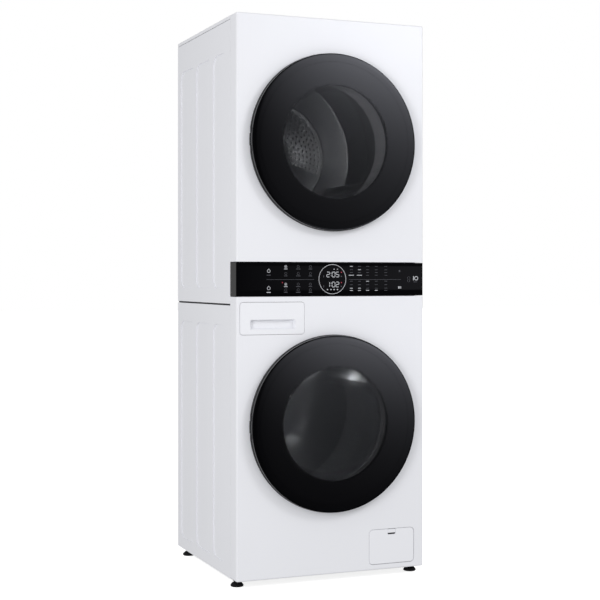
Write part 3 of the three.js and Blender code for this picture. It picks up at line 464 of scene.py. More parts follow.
def band_glass():
    # Back-printed toughened glass: polished, black underneath, almost free of texture.
    return simple_finish("printed_black_glass", colour_of("band"), 0.03, 60, vary=0.05,
                         rough_vary=0.01, bump=0.02, rise=0.02, IOR=1.5)


def rim_gloss():
    # Piano-black ABS: a smooth mirror over a deep black, with a gloss that drifts a little.
    return simple_finish("polished_black_abs", colour_of("rim"), 0.05, 90, vary=0.05,
                         rough_vary=0.02, bump=0.0, rise=0.0, IOR=1.52)


def door_glass(door):
    # Tinted tempered glass: printed black round the outside, see-through smoke in the middle.
    tint = colour_of("tint")
    made, tree, body, place = new_finish(f"smoked_glass_{door['name']}", tint, 0.05, IOR=1.52)
    if tree:
        centred = add_node(tree, "ShaderNodeMapping", {
            "Vector": place, "Location": (0, 0, -door["z"] / 1000), "Scale": (1, 0, 1)})
        radius = add_node(tree, "ShaderNodeVectorMath", {0: centred.outputs["Vector"]},
                          operation="LENGTH").outputs["Value"]
        edge = sizes().window_radius
        printed = spread(tree, radius, 0.0, 1.0, edge - 0.004, edge + 0.003)
        alpha = spread(tree, printed, 0.42, 1.0, 0.0, 1.0)
        tree.links.new(alpha, body.inputs["Alpha"])
        wave = grain(tree, place, 90.0)
        tree.links.new(spread(tree, wave, 0.03, 0.07), body.inputs["Roughness"])
        tree.links.new(blend_colours(tree, printed, shade(tint, 0.8), tint),
                       body.inputs["Base Color"])
    return made


def bowl_glass():
    # Pressed borosilicate: clear, with the soft ripple that the mould leaves. Where the wall is seen
    # edge-on it turns grey and nearly opaque: a painted sheen that stands in for the glass's reflection
    # there.
    made, tree, body, place = new_finish("pressed_clear_glass", (0.22, 0.23, 0.25), 0.03, IOR=1.47)
    if tree:
        # Alpha rises from 0.05 face-on to 0.8 edge-on, so the grey base colour shows at the bowl's
        # curved walls as painted sheen.
        edge = add_node(tree, "ShaderNodeLayerWeight", {"Blend": 0.35}).outputs["Facing"]
        tree.links.new(spread(tree, edge, 0.05, 0.8, 0.3, 1.0), body.inputs["Alpha"])
        raise_surface(tree, body, grain(tree, place, 25.0), 0.12, 0.4)
    return made


def drum_steel():
    # Cold-rolled stainless sheet: bright, with fine rolling lines round the drum.
    return simple_finish("rolled_stainless_sheet", colour_of("steel"), 0.32, 3.0, vary=0.03,
                         rough_vary=0.04, bump=0.02, rise=0.005, stretch=(0.15, 3.0, 0.15),
                         Metallic=0.9)


def zinc_coat():
    # Hot-dip galvanised sheet: dull grey metal with crystals about 12 mm across.
    colour = colour_of("zinc")
    made, tree, body, place = new_finish("galvanised_sheet", colour, 0.45, Metallic=0.9)
    if tree:
        crystal = add_node(tree, "ShaderNodeTexVoronoi", {"Vector": place, "Scale": 1000 / 12})
        flake = add_node(tree, "ShaderNodeSeparateColor", {"Color": crystal.outputs["Color"]})
        tone = flake.outputs["Red"]
        tree.links.new(blend_colours(tree, tone, shade(colour, 0.85), shade(colour, 1.1)),
                       body.inputs["Base Color"])
        tree.links.new(spread(tree, tone, 0.36, 0.55, 0, 1), body.inputs["Roughness"])
        raise_surface(tree, body, grain(tree, place, 1.0), 0.05, 0.02)
    return made


def black_plastic():
    # Glass-filled polypropylene: matte black with a fine moulded grain.
    return simple_finish("moulded_black_polypropylene", colour_of("black"), 0.55, 0.9, vary=0.08,
                         bump=0.15, rise=0.04)


def grey_plastic():
    # Polypropylene moulding: matte mid grey with a fine grain.
    return simple_finish("moulded_grey_polypropylene", colour_of("grey"), 0.5, 0.9, bump=0.12,
                         rise=0.04)


def seal_rubber():
    # Moulded EPDM: matte, with talc haze and a slightly uneven skin.
    return simple_finish("moulded_epdm_rubber", colour_of("seal"), 0.62, 3.0, vary=0.06,
                         rough_vary=0.08, bump=0.12, rise=0.06)


def foot_rubber():
    # Solid rubber: matte black, scuffed at the sole.
    return simple_finish("moulded_black_rubber", to_linear("1D1D20"), 0.7, 2.0, vary=0.12,
                         bump=0.2, rise=0.08)


def drawn_steel():
    # Drawn spring wire: dark bright-drawn steel with lines along it.
    return simple_finish("drawn_spring_steel", to_linear("8C8E91"), 0.35, 1.2, vary=0.05,
                         bump=0.1, rise=0.03, stretch=(1, 1, 0.1), Metallic=1.0)


def cast_aluminium():
    # Sand-cast aluminium: pale grey with a pebbly skin about 1.5 mm across.
    return simple_finish("sand_cast_aluminium", to_linear("A6A8AB"), 0.5, 1.5, vary=0.05,
                         bump=0.35, rise=0.12, Metallic=1.0)


def cast_concrete():
    # Cast concrete: dull grey with aggregate and pores a few millimetres across.
    return simple_finish("cast_concrete", to_linear("8F8D88"), 0.9, 4.0, vary=0.12, rough_vary=0.04,
                         bump=0.5, rise=0.5)


def copper_wire():
    # Enamelled copper winding: warm brown metal with wires about 1 mm apart.
    made, tree, body, place = new_finish("enamelled_copper_winding", to_linear("8A4A2C"), 0.4,
                                         Metallic=0.8)
    if tree:
        wires = add_node(tree, "ShaderNodeTexWave", {"Vector": place, "Scale": 160.0,
                         "Distortion": 0.6}, bands_direction="Y").outputs["Fac"]
        tree.links.new(blend_colours(tree, wires, to_linear("5A2C18"), to_linear("A2603A")),
                       body.inputs["Base Color"])
        raise_surface(tree, body, wires, 0.4, 0.3)
    return made


def lit_mark(name, colour, glow):
    # Light-emitting mark behind glass: flat, evenly lit, with a slight unevenness. The printed ring
    # also gets a faint glow from it, which is painted light, since print does not shine.
    made, tree, body, place = new_finish(name, colour, 0.35, Emission_Strength=glow)
    if tree:
        tone = blend_colours(tree, grain(tree, place, 4.0), shade(colour, 0.92), colour)
        tree.links.new(tone, body.inputs["Base Color"])
        tree.links.new(tone, body.inputs["Emission Color"])
    return made


def finish_of_slot():
    """The finish of each material slot of the record."""
    return {
        "white_enamel": enamel, "white_plastic": white_moulding, "control_glass": band_glass,
        "gloss_black": rim_gloss, "tinted_glass": lambda: door_glass(WASHER),
        "bowl_glass": bowl_glass, "black_plastic": black_plastic, "grey_plastic": grey_plastic,
        "grey_rubber": seal_rubber, "black_rubber": foot_rubber, "stainless": drum_steel,
        "zinc_sheet": zinc_coat, "spring_steel": drawn_steel, "cast_aluminium": cast_aluminium,
        "concrete": cast_concrete, "copper_winding": copper_wire,
    }


# ---- Operators --------------------------------------------------------------------------------

class STACK_OT_stage(bpy.types.Operator):
    """Makes the camera, the pale floor and the soft studio light"""

    bl_idname = "stack.stage"
    bl_label = "Stage"

    def execute(self, context):
        scene = bpy.context.scene
        scene.view_settings.view_transform = "Standard"
        scene.view_settings.look = "None"
        deselect()
        bpy.ops.object.camera_add(location=(-1.5667, -3.8955, 0.8995),
                                  rotation=(math.pi / 2, 0, math.radians(-22.08)))
        camera = scene.camera = bpy.context.object
        camera.name = "camera_front_left"
        camera.data.sensor_width = 36.0
        camera.data.lens = 79.94
        camera.data.shift_y = -0.0389
        deselect()
        bpy.ops.mesh.primitive_plane_add(size=60, location=(0, 0, -0.0005))
        floor = settle(bpy.context.object, "floor")
        floor.data.materials.append(self.floor_paint())
        floor.visible_diffuse = floor.visible_glossy = False
        self.sky(scene)
        self.card("card_upper", (1.0, 1.76), (0.95, 2.2), 3.6, 0.05)
        self.card("card_middle", (0.85, 0.94), (0.85, 0.94), 0.22, 1.0)
        self.card("card_lower", (0.0, 0.75), (-0.3, 0.80), 2.8, 0.02)
        self.softbox("softbox_key", (1.7, -2.2, 2.4), (0.1, -0.2, 1.2), (0.9, 0.8), 19)
        self.softbox("softbox_left", (-2.7, -2.3, 1.3), (0, 0, 0.9), (1.0, 1.6), 34)
        self.lamp_inside("lamp_dryer", (0.21, -0.14, 1.33), 0.14)
        self.lamp_inside("lamp_dryer_low", (0.08, -0.12, 1.10), 0.12)
        self.lamp_inside("lamp_washer", (0.12, -0.16, 0.36), 0.12)
        self.lamp_inside("lamp_washer_top", (0.14, -0.06, 0.60), 0.3)
        return {"FINISHED"}

    @staticmethod
    def floor_paint():
        # Seamless white paper: evenly lit, so it glows back as paper under studio light does.
        made, tree, body, place = new_finish("seamless_white_paper", (0.9, 0.9, 0.9), 0.9)
        drift = grain(tree, place, 400.0)
        tree.links.new(blend_colours(tree, drift, (0.9, 0.9, 0.9), (0.92, 0.92, 0.92)),
                       body.inputs["Base Color"])
        body.inputs["Emission Color"].default_value = (1, 1, 1, 1)
        body.inputs["Emission Strength"].default_value = 0.8
        body.inputs["Specular IOR Level"].default_value = 0.0
        return made

    @staticmethod
    def sky(scene):
        """White behind the object, even for soft light; in reflections dim in front, paler behind."""
        scene.world = bpy.data.worlds.new("studio")
        scene.world.use_nodes = True
        tree = scene.world.node_tree
        back = tree.nodes["Background"]
        back.inputs["Color"].default_value = (1, 1, 1, 1)
        ray = add_node(tree, "ShaderNodeLightPath")
        way = add_node(tree, "ShaderNodeSeparateXYZ", {
            "Vector": add_node(tree, "ShaderNodeTexCoord").outputs["Generated"]})
        mirrored = spread(tree, way.outputs["Y"], 0.015, 0.35, 0.1, 0.9)
        away = add_node(tree, "ShaderNodeMix", {
            "Factor": ray.outputs["Is Glossy Ray"], "A": 0.67, "B": mirrored}).outputs[0]
        shown = add_node(tree, "ShaderNodeMix", {
            "Factor": ray.outputs["Is Camera Ray"], "A": away, "B": 1.0}).outputs[0]
        tree.links.new(shown, back.inputs["Strength"])

    @staticmethod
    def card(name, heights, reach, glow, lowest):
        """An upright glowing card that only reflections show, dim on the left and at its foot."""
        left, right = -0.04, 0.74
        deselect()
        bpy.ops.mesh.primitive_plane_add(
            size=1, location=((left + right) / 2, -1.115, sum(reach) / 2),
            rotation=(math.pi / 2, 0, 0))
        bpy.context.object.scale = (right - left + 0.5, reach[1] - reach[0], 1)
        sheet = settle(bpy.context.object, name)
        sheet.visible_camera = sheet.visible_diffuse = sheet.visible_shadow = False
        made, tree, body, place = new_finish(f"glowing_silk_{name}", (0, 0, 0), 1.0)
        # Lit silk: a diffusing cloth whose light falls off smoothly to one side and downwards.
        parts = add_node(tree, "ShaderNodeSeparateXYZ", {"Vector": place})
        across = spread(tree, parts.outputs["X"], 0.002, 1.0, left, right)
        upward = spread(tree, parts.outputs["Z"], 1.0, 0.0, *heights)
        side = add_node(tree, "ShaderNodeMath", {0: across, 1: 0.7}, operation="POWER").outputs[0]
        rise = add_node(tree, "ShaderNodeMath", {0: lowest, 1: upward}, operation="POWER").outputs[0]
        both = add_node(tree, "ShaderNodeMath", {0: side, 1: rise}, operation="MULTIPLY").outputs[0]
        level = add_node(tree, "ShaderNodeMath", {0: both, 1: glow}, operation="MULTIPLY").outputs[0]
        body.inputs["Emission Color"].default_value = (0.98, 1, 1.12, 1)
        body.inputs["Specular IOR Level"].default_value = 0.0
        tree.links.new(level, body.inputs["Emission Strength"])
        sheet.data.materials.append(made)

    @staticmethod
    def softbox(name, place, target, size, power):
        """A large soft light that faces a target."""
        deselect()
        aim = (Vector(target) - Vector(place)).to_track_quat("-Z", "Y").to_euler()
        bpy.ops.object.light_add(type="AREA", location=place, rotation=aim)
        lamp = bpy.context.object
        lamp.name = name
        lamp.data.shape = "RECTANGLE"
        lamp.data.size, lamp.data.size_y = size
        lamp.data.energy = power
        lamp.visible_camera = lamp.visible_glossy = False

    @staticmethod
    def lamp_inside(name, place, power):
        """A small soft light that shows the inside of a drum."""
        deselect()
        bpy.ops.object.light_add(type="POINT", radius=0.05, location=place)
        lamp = bpy.context.object
        lamp.name = name
        lamp.data.energy = power
        lamp.visible_camera = False


class STACK_OT_front_panels(bpy.types.Operator):
    """Models the two front panels, folded round onto the sides"""

    bl_idname = "stack.front_panels"
    bl_label = "Front panels"

    def execute(self, context):
        lower = self.panel("front_panel_lower_skin", (22, 841.25), WASHER, top=False)
        drawer = rounded_plate("cut", (-290.2, -88.9), (-8, 8), (731, 826), 9, 1)
        filter_hole = rounded_plate("cut", (119, 269), (-8, 8), (38, 143), 13, 1)
        combine(lower, [drawer, filter_hole])
        upper = self.panel("front_panel_upper_skin", (942.75, TOP), DRYER, top=True)
        for panel, node in ((lower, "front_panel_lower"), (upper, "front_panel_upper")):
            soften(panel, sizes().hem, 2)
            outfit(panel, enamel(), "cabinet", [node])
        return {"FINISHED"}

    def panel(self, name, z, door, top):
        """One front sheet with its outer end rounded, its door opening and its hinge and hook slots."""
        outer = slab(name, (-HALF, HALF), (0, FOLD), z)
        height = z[1] / 1000 if top else z[0] / 1000

        def outer_edge(edge):
            level, front = lies_at(edge, 2, height), lies_at(edge, 1, FRONT)
            return (along(edge, 2) and front) or (level and (along(edge, 1) or front))

        round_edges(outer, outer_edge, sizes().corner * 1000)
        choose(outer, "faces", lambda f: f.normal.y > 0.99 or f.normal.z < -0.99
               or (not top and f.normal.z > 0.99))
        bpy.ops.mesh.delete(type="FACE")
        done()
        apply(outer, "SOLIDIFY", thickness=sizes().skin, offset=-1)
        z0 = door["z"]
        cuts = [rod("cut", OPENING_RADIUS, 0, (-8, 8), z0, sizes().round_steps)]
        for low, high in SLOT_SPANS:
            cuts.append(slab("cut", (-258.2, -250.8), (-8, 8), (z0 + low, z0 + high)))
        cuts.append(rounded_plate("cut", (198, 213), (-8, 8), (z0 - 10, z0 + 10), 2, 1, 3))
        return combine(outer, cuts)


class STACK_OT_control_band(bpy.types.Operator):
    """Models the black glass band with its display, printed marks and symbols"""

    bl_idname = "stack.control_band"
    bl_label = "Control band"
    FACE = -0.15  # the marks stand this far in front of the glass, in millimetres
    BACK = 0.2  # and reach this far into it
    SEGMENTS = {"0": "abcdef", "1": "bc", "2": "abged", "5": "afgcd"}

    def execute(self, context):
        self.glass()
        finishes = {
            "bright": lit_mark("lit_white_segments", colour_of("digits"), 0.2),
            "dim": lit_mark("printed_grey_marks", colour_of("print_grey"), 0.0),
            "red": lit_mark("lit_red_marks", colour_of("alert"), 0.4),
        }
        self.made = {kind: [] for kind in finishes}
        self.digits("2:05", -18.2, 13.9)
        self.digits("1:02", -18.2, -15.6)
        self.left_side()
        self.right_side()
        self.small_marks()
        for kind, finish in finishes.items():
            outfit(merge(self.made[kind], f"band_marks_{kind}"), finish, "cabinet")
        radius, line = sizes().ring_radius * 1000, sizes().ring_width * 1000
        circle = self.ring("band_ring", radius, line, (0, BAND_Z), 96)
        # The printed ring gets a faint glow (emission 0.1) that print does not have: a painted glow
        # that lightens the ring.
        ring_finish_painted_glow = lit_mark("printed_silver_ring", colour_of("ring"), 0.1)
        outfit(circle, ring_finish_painted_glow, "cabinet")
        return {"FINISHED"}

    def glass(self):
        """The band's glass, folded round onto the sides as the front sheets are."""
        band = slab("control_band_glass", (-HALF, HALF), (0, FOLD), (842.75, 941.25))
        round_edges(band, lambda e: along(e, 2) and lies_at(e, 1, FRONT), sizes().corner * 1000)
        choose(band, "faces", lambda f: f.normal.y > 0.99 or abs(f.normal.z) > 0.99)
        bpy.ops.mesh.delete(type="FACE")
        done()
        apply(band, "SOLIDIFY", thickness=sizes().skin, offset=-1)
        soften(band, 0.0004, 2)
        outfit(band, band_glass(), "cabinet", ["control_glass"])

    def bar(self, kind, x, dz, width, height, rounding=0.35):
        """One flat mark, by its centre and size."""
        mark = slab("mark", (x - width / 2, x + width / 2), (self.FACE, self.BACK),
                    (BAND_Z + dz - height / 2, BAND_Z + dz + height / 2))
        size = rounding * min(width, height)
        self.made[kind].append(round_edges(mark, lambda e: along(e, 1), size, 2))

    def ring(self, name, radius, line, centre, steps):
        """A flat ring, by its outer radius and the width of its line."""
        return turned(name, [
            (radius - line, self.FACE), (radius, self.FACE), (radius, self.BACK),
            (radius - line, self.BACK)], centre, steps)

    def circle(self, kind, x, dz, radius, line):
        """One small ring, by its centre and size."""
        self.made[kind].append(self.ring("mark", radius, line, (x, BAND_Z + dz), 20))

    def digits(self, text, start, dz):
        """Seven-segment digits, drawn from the left."""
        height = sizes().digit_height * 1000
        width, line = height * 0.56, height * 0.12
        x = start
        for sign in text:
            if sign == ":":
                for side in (-1, 1):
                    self.bar("bright", x + 1.2, dz + side * height * 0.2, 1.7, 1.7, 0.5)
                x += 4.6
                continue
            middle, half = x + width / 2, height / 2
            places = {
                "a": (middle, half, True), "g": (middle, 0, True), "d": (middle, -half, True),
                "f": (x, half / 2, False), "b": (x + width, half / 2, False),
                "e": (x, -half / 2, False), "c": (x + width, -half / 2, False),
            }
            for key in self.SEGMENTS[sign]:
                px, pz, flat = places[key]
                long = (width if flat else half) - line * 0.9
                self.bar("bright", px, dz + pz * (1 - 0.5 * line / half),
                         *((long, line) if flat else (line, long)), 0.4)
            x += width + 3.3

    def left_side(self):
        """The marks to the left of the display, and the two lines that run across the band."""
        for dz in (23.8, -26.0):  # the two power symbols with their labels
            self.circle("bright", -201, dz, 5.2, 1.3)
            self.bar("bright", -201, dz + 5.0, 1.4, 4.4)
            self.bar("bright" if dz < 0 else "dim", -201, dz - 12.0, 13, 2.2)
        for row, dz in enumerate((35.3, 15.1, -16.0, -32.6)):
            for column, x in enumerate((-148, -109, -70.5)):
                kind = "bright" if column == 0 and row in (0, 2) else "dim"
                self.circle(kind, x, dz + 1.5, 4.0, 1.0)
                self.bar(kind, x, dz - 5.4, 11 + 3 * (column == 1), 1.9)
                if kind == "bright":
                    self.bar(kind, x, dz + 1.5, 3.0, 3.0)
        self.circle("red", -158.6, -9.6, 1.5, 1.2)
        self.bar("dim", -133.2, -1, 149, 1.0)
        self.bar("dim", 139.6, -1, 171.8, 1.0)

    def right_side(self):
        """The marks to the right of the display."""
        columns = (61.2, 87.6, 114.2, 142.9, 174.4)
        rows = {38.2: (0,), 28.1: (1,), 19.9: (), 11.7: (0, 1), -6.1: (2,), -16.5: (),
                -26.9: (0, 1), -33.4: (0, 1, 2, 3)}
        for dz, lit in rows.items():
            for column, x in enumerate(columns):
                wide = 17.0 if abs(dz - 11.7) < 0.1 and column < 2 else 9.5
                kind = "bright" if column in lit else "dim"
                self.bar(kind, x, dz, wide, 1.8 if kind == "bright" else 1.3)
        self.bar("dim", 220.1, 24.5, 5, 6)
        for x, width in ((218.0, 4.4), (222.6, 1.5), (225.2, 1.5)):  # start and pause
            self.bar("bright", x, -25, width, 6.6, 0.2)
        self.circle("dim", 251, 3.4, 4.6, 1.0)
        self.circle("dim", 251, -4.4, 4.6, 1.0)
        self.circle("bright", 276.4, 2.6, 6.4, 2.0)
        self.bar("bright", 267.2, 2.6, 2.6, 12.5)
        self.bar("dim", 273.3, -8.4, 13, 1.6)

    def small_marks(self):
        """The small marks round the digits."""
        for x in (5.2, 16.2):
            self.bar("bright", x, 29.4, 3.6, 2.8, 0.5)
        for x in (-16.0, -4.8, 5.5, 16.2):
            self.bar("bright", x, -30.5, 4.4, 3.6, 0.5)
        for dz in (20.3, -9.9):
            self.bar("red", 28.8, dz, 3.8, 3.0, 0.5)
        for dz in (8.5, -21.1):
            self.bar("dim", 28.8, dz, 4.0, 3.2, 0.3)
            self.bar("dim", -28.0, dz, 2.0, 6.0, 0.3)


class STACK_OT_sides_and_top(bpy.types.Operator):
    """Models the pressed side panels and the top cover"""

    bl_idname = "stack.sides_and_top"
    bl_label = "Side panels and top"
    PRESSES = ((94, 213), (225, 380), (392, 543))

    def execute(self, context):
        spans = {"lower": ((22, 815.5), (59, 757.5)), "upper": ((820.5, 1647.5), (864.5, 1559.5))}
        for level, (z, pressed) in spans.items():
            for side, sign in (("left", -1), ("right", 1)):
                self.side(f"side_panel_{level}_{side}", sign, z, pressed)
        top = slab("top_cover_sheet", (-HALF, HALF), (SIDE_START, REAR), (1649, TOP))
        round_edges(top, lambda e: lies_at(e, 2, TOP / 1000), 3, 4)
        choose(top, "faces", lambda f: f.normal.z > 0.99)
        bpy.ops.mesh.inset(thickness=0.026)
        bpy.ops.mesh.inset(thickness=0.004, depth=-0.0018)
        done()
        soften(top, 0.0008, 2, 20)
        outfit(top, enamel(), "cabinet", ["top_cover"])
        return {"FINISHED"}

    def side(self, node, sign, z, pressed):
        """One side sheet with its pressed panels; sign is -1 on the left and 1 on the right."""
        def across(near, far):
            return tuple(sorted((sign * (HALF - near), sign * (HALF - far))))

        sheet = slab(node + "_sheet", across(0, 2), (SIDE_START, REAR), z)
        pads = [rounded_plate("pad", across(1, 5), (a - 2, b + 2), (pressed[0] - 2, pressed[1] + 2),
                              34, 0, 8) for a, b in self.PRESSES]
        combine(sheet, pads, "UNION")
        pockets = [rounded_plate("cut", across(-1, 3), span, pressed, 32, 0, 8)
                   for span in self.PRESSES]
        combine(sheet, pockets)
        soften(sheet, sizes().press_edge, 4, 40)
        outfit(sheet, enamel(), "cabinet", [node])


class STACK_OT_feet(bpy.types.Operator):
    """Models the four levelling feet with their lock nuts"""

    bl_idname = "stack.feet"
    bl_label = "Feet"

    def execute(self, context):
        pad = soften(turned("pad", [
            (0, 0), (17.5, 0), (19, 1.2), (19, 4.6), (18, 6.2), (14, 10.6), (12, 11.6),
            (9, 12.2), (9, 21.8), (0, 21.8)], (0, 0), 40, "Z"), 0)
        nut = soften(rod("nut", 12.6, 0, 0, (15.6, 21.6), 6), 0.0008, 2)
        for side, x in (("left", -280), ("right", 280)):
            for end, y in (("front", 52), ("rear", 520)):
                foot = copied(pad, f"foot_{end}_{side}_pad", (x, y, 0))
                outfit(foot, foot_rubber(), "cabinet", [f"foot_{end}_{side}"])
                lock = copied(nut, f"foot_{end}_{side}_nut", (x, y, 0))
                outfit(lock, drawn_steel(), "cabinet")
        drop(pad, nut)
        return {"FINISHED"}


class STACK_OT_doors(bpy.types.Operator):
    """Models both round doors: rim, outer glass, bowl and inner frame"""

    bl_idname = "stack.doors"
    bl_label = "Doors"

    def execute(self, context):
        for door in (WASHER, DRYER):
            name, centre = door["name"], (0, door["z"])
            body = f"{name}_door"
            rim = turned(f"{name}_door_ring", [
                (236, -25.4), (236.1, -25.5), (246, -25.1), (256, -24.7), (258.6, -24.2),
                (260.2, -23), (260.6, -21.4), (260.6, -12.6), (260, -12), (236, -12),
                (236, -8), (226, -8), (226, -21), (236, -21)], centre)
            soften(combine(rim, self.hinge_cuts(door)), 0.0003, 1, 50)
            outfit(rim, rim_gloss(), body, [f"{name}_door_rim"])
            back = turned(f"{name}_door_ring_back", [
                (236.3, -11.9), (261, -11.9), (261.8, -11), (261.8, -3), (260.8, -1.5), (259, -1),
                (236.3, -1)], centre)
            soften(combine(back, self.hinge_cuts(door)), 0)
            outfit(back, black_plastic(), body)
            glass = turned(f"{name}_door_pane", self.pane(), centre)
            soften(glass, 0)
            outfit(glass, door_glass(door), body, [f"{name}_door_glass"])
            bowl = turned(f"{name}_door_bowl_glass", self.bowl(door["bowl"]), centre, 96)
            soften(bowl, 0)
            outfit(bowl, bowl_glass(), body, [f"{name}_door_bowl"])
            self.inner_frame(door)
        return {"FINISHED"}

    @staticmethod
    def hinge_cuts(door, pin=True):
        """The room that a door leaves for its hinge's pin and lugs."""
        z = door["z"]
        x, y = HINGE
        cuts = [rod("cut", 3.3, x, y, (z - 34.5, z + 34.5), 24)] if pin else []
        for low, high in LUG_SPANS:
            cuts.append(rod("cut", 6.1, x, y, (z + low, z + high), 32))
            cuts.append(slab("cut", (x - 12, x + 3.5), (y - 7, 1), (z + low, z + high)))
        return cuts

    @staticmethod
    def pane():
        """Domed glass disc, 4 mm thick, 30 mm proud at its middle."""
        front = [(r, -30 + 4.5 * (r / 235.7) ** 2) for r in range(0, 235, 18)]
        edge = [(235.6, -25.5), (235.7, -25.4), (235.7, -22.6), (235, -21.6)]
        back = [(r, y + 4) for r, y in reversed(front)]
        return front + edge + back

    @staticmethod
    def bowl(deep):
        """The bowl's wall, rounded into its bottom and out into its flange."""
        outer = [(185, -12), (185, -8.4), (175, -8.3), (172.2, -6), (171, -1), (169.6, 6),
                 (158, deep - 22), (152, deep - 12), (143, deep - 4.5), (132, deep - 0.8),
                 (124, deep)]
        inner = [(0, deep - 5), (124, deep - 5), (131, deep - 5.8), (140, deep - 9),
                 (148, deep - 16), (153.6, deep - 25), (164.8, 4), (166.2, -4), (167.4, -10),
                 (170, -12)]
        return [(0, deep)] + list(reversed(outer)) + list(reversed(inner))

    def inner_frame(self, door):
        """The door's inner frame with its hook."""
        z, name = door["z"], door["name"]
        ring = turned(f"{name}_door_inner_ring", [
            (171.8, -7.6), (235.2, -7.6), (235.4, -3), (234, -1.6), (196, -1.5), (190, -2.6),
            (180, -2.8), (175, -1.6), (171.9, -2.4)], (0, z))
        hook = slab("hook", (200.5, 210.5), (-6, 13.6), (z - 7.6, z + 7.6))
        round_edges(hook, lambda e: along(e, 2) and all(v.co.y > depth(12) for v in e.verts), 3, 4)
        combine(ring, [hook], "UNION")
        combine(ring, self.hinge_cuts(door, pin=False))
        soften(ring, 0.0006, 2)
        outfit(ring, black_plastic(), f"{name}_door", [f"{name}_door_inner_frame"])


class STACK_OT_drawer(bpy.types.Operator):
    """Models the detergent drawer's front with its undercut grip"""

    bl_idname = "stack.drawer"
    bl_label = "Drawer front"

    def execute(self, context):
        face = rounded_plate("drawer_front_panel", (-289.2, -89.9), (0, 14), (732, 825), 8, 1)
        grip = rounded_plate("cut", (-258.2, -116.9), (-2, 11.5), (745, 775), 4, 1)
        choose(grip, "faces", lambda f: f.normal.y > 0.99)
        bpy.ops.transform.resize(value=(0.93, 1, 0.78), center_override=(-0.18755, depth(11.5), 0.773))
        done()
        under = slab("cut", (-252, -123), (3, 11.5), (768, 788))
        round_edges(under, lambda e: along(e, 0), 2.5, 3)
        combine(face, [grip, under])
        soften(face, sizes().hem, 3)
        outfit(face, white_moulding(), "detergent_drawer", ["drawer_front"])
        return {"FINISHED"}


class STACK_OT_filter_door(bpy.types.Operator):
    """Models the drain filter's door and its latch"""

    bl_idname = "stack.filter_door"
    bl_label = "Filter door"

    def execute(self, context):
        middle = 194  # the door's middle across the cabinet
        plate = rounded_plate("filter_door_panel", (120, 268), (0, 3.2), (39, 142), 12, 1, 8)
        for face in (0, 3.2):
            round_edges(plate, lambda e: lies_at(e, 1, depth(face)), 1.45, 3)
        notch = rounded_plate("cut", (middle - 12.8, middle + 12.8), (-2, 6), (125.5, 150), 3, 1, 4)
        combine(plate, [notch])
        ears = []
        for side in (-1, 1):
            x = sorted((middle + side * 60, middle + side * 66))
            ears.append(slab("ear", tuple(x), (2.5, 11), (51.5, 60)))
            x = sorted((middle + side * 61, middle + side * 72))
            ears.append(rod("pin", 2.3, tuple(x), 8, 55, 20))
        combine(plate, ears, "UNION")
        soften(plate, 0.0004, 2)
        outfit(plate, white_moulding(), "filter_door", ["filter_door"])
        tab = rounded_plate("filter_latch_tab", (middle - 12.2, middle + 12.2), (0.4, 6),
                            (130.2, 141.4), 2.4, 1, 4)
        slide = slab("slide", (middle - 16.5, middle + 16.5), (3.8, 6.5), (130, 138))
        combine(tab, [slide], "UNION")
        soften(tab, 0.0005, 2)
        outfit(tab, white_moulding(), "filter_latch", ["filter_latch"])
        return {"FINISHED"}


class STACK_OT_door_seal(bpy.types.Operator):
    """Models the washer's folded door seal"""

    bl_idname = "stack.door_seal"
    bl_label = "Door seal"

    def execute(self, context):
        low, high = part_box("door_gasket")
        outer = (high.x - low.x) * 500
        start, end = ((v - FRONT) * 1000 for v in (low.y, high.y))
        inner = 180.5
        seal = turned("door_seal", [
            (inner + 6, start), (inner + 1, start + 1), (inner, start + 4), (inner + 1, start + 12),
            (inner + 7, start + 15), (inner + 8, start + 18), (inner + 2, start + 21),
            (inner + 1, start + 26), (inner + 8, start + 29), (inner + 9, start + 32),
            (inner + 3, start + 35), (inner + 2, end), (outer - 3, end), (outer - 0.5, end - 4),
            (outer - 4, start + 30), (outer - 1, start + 26), (outer - 0.5, start + 18),
            (outer - 4, start + 14), (outer - 0.5, start + 8), (outer - 1, start)],
            (0, WASHER_Z), 96)
        soften(seal, 0.0008, 2)
        outfit(seal, seal_rubber(), "cabinet", ["door_gasket"])
        return {"FINISHED"}


class STACK_OT_washer_drum(bpy.types.Operator):
    """Models the washer's perforated drum"""

    bl_idname = "stack.washer_drum"
    bl_label = "Washer drum"

    def execute(self, context):
        drum = turned("washer_drum_shell", [
            (0, 440), (60, 440), (70, 436), (180, 436), (196, 440), (243, 440), (243, 300),
            (241.5, 290), (243, 280), (243, 180), (241.5, 170), (243, 160), (243, 89), (238, 88),
            (200, 88), (194, 90), (191, 90), (190, 87), (193, 85), (240, 85), (244, 86.5), (245, 90),
            (245, 438), (243, 443), (0, 443)], (0, WASHER_Z), 96)
        around = 44  # holes in each row
        cuts = []
        for row in range(14):
            y = 104 + row * 24.5
            hole = rod("cut", sizes().washer_hole * 1000, 0, y, (WASHER_Z + 236, WASHER_Z + 250), 6)
            if row % 2:
                swing(hole, math.radians(180 / around), WASHER_Z)
            cuts.append(repeat_round(hole, around, math.tau * (around - 1) / around, (0, WASHER_Z)))
        combine(drum, [merge(cuts, "cut")])
        soften(drum, 0)
        outfit(drum, drum_steel(), "washer_drum", ["washer_drum"])
        return {"FINISHED"}


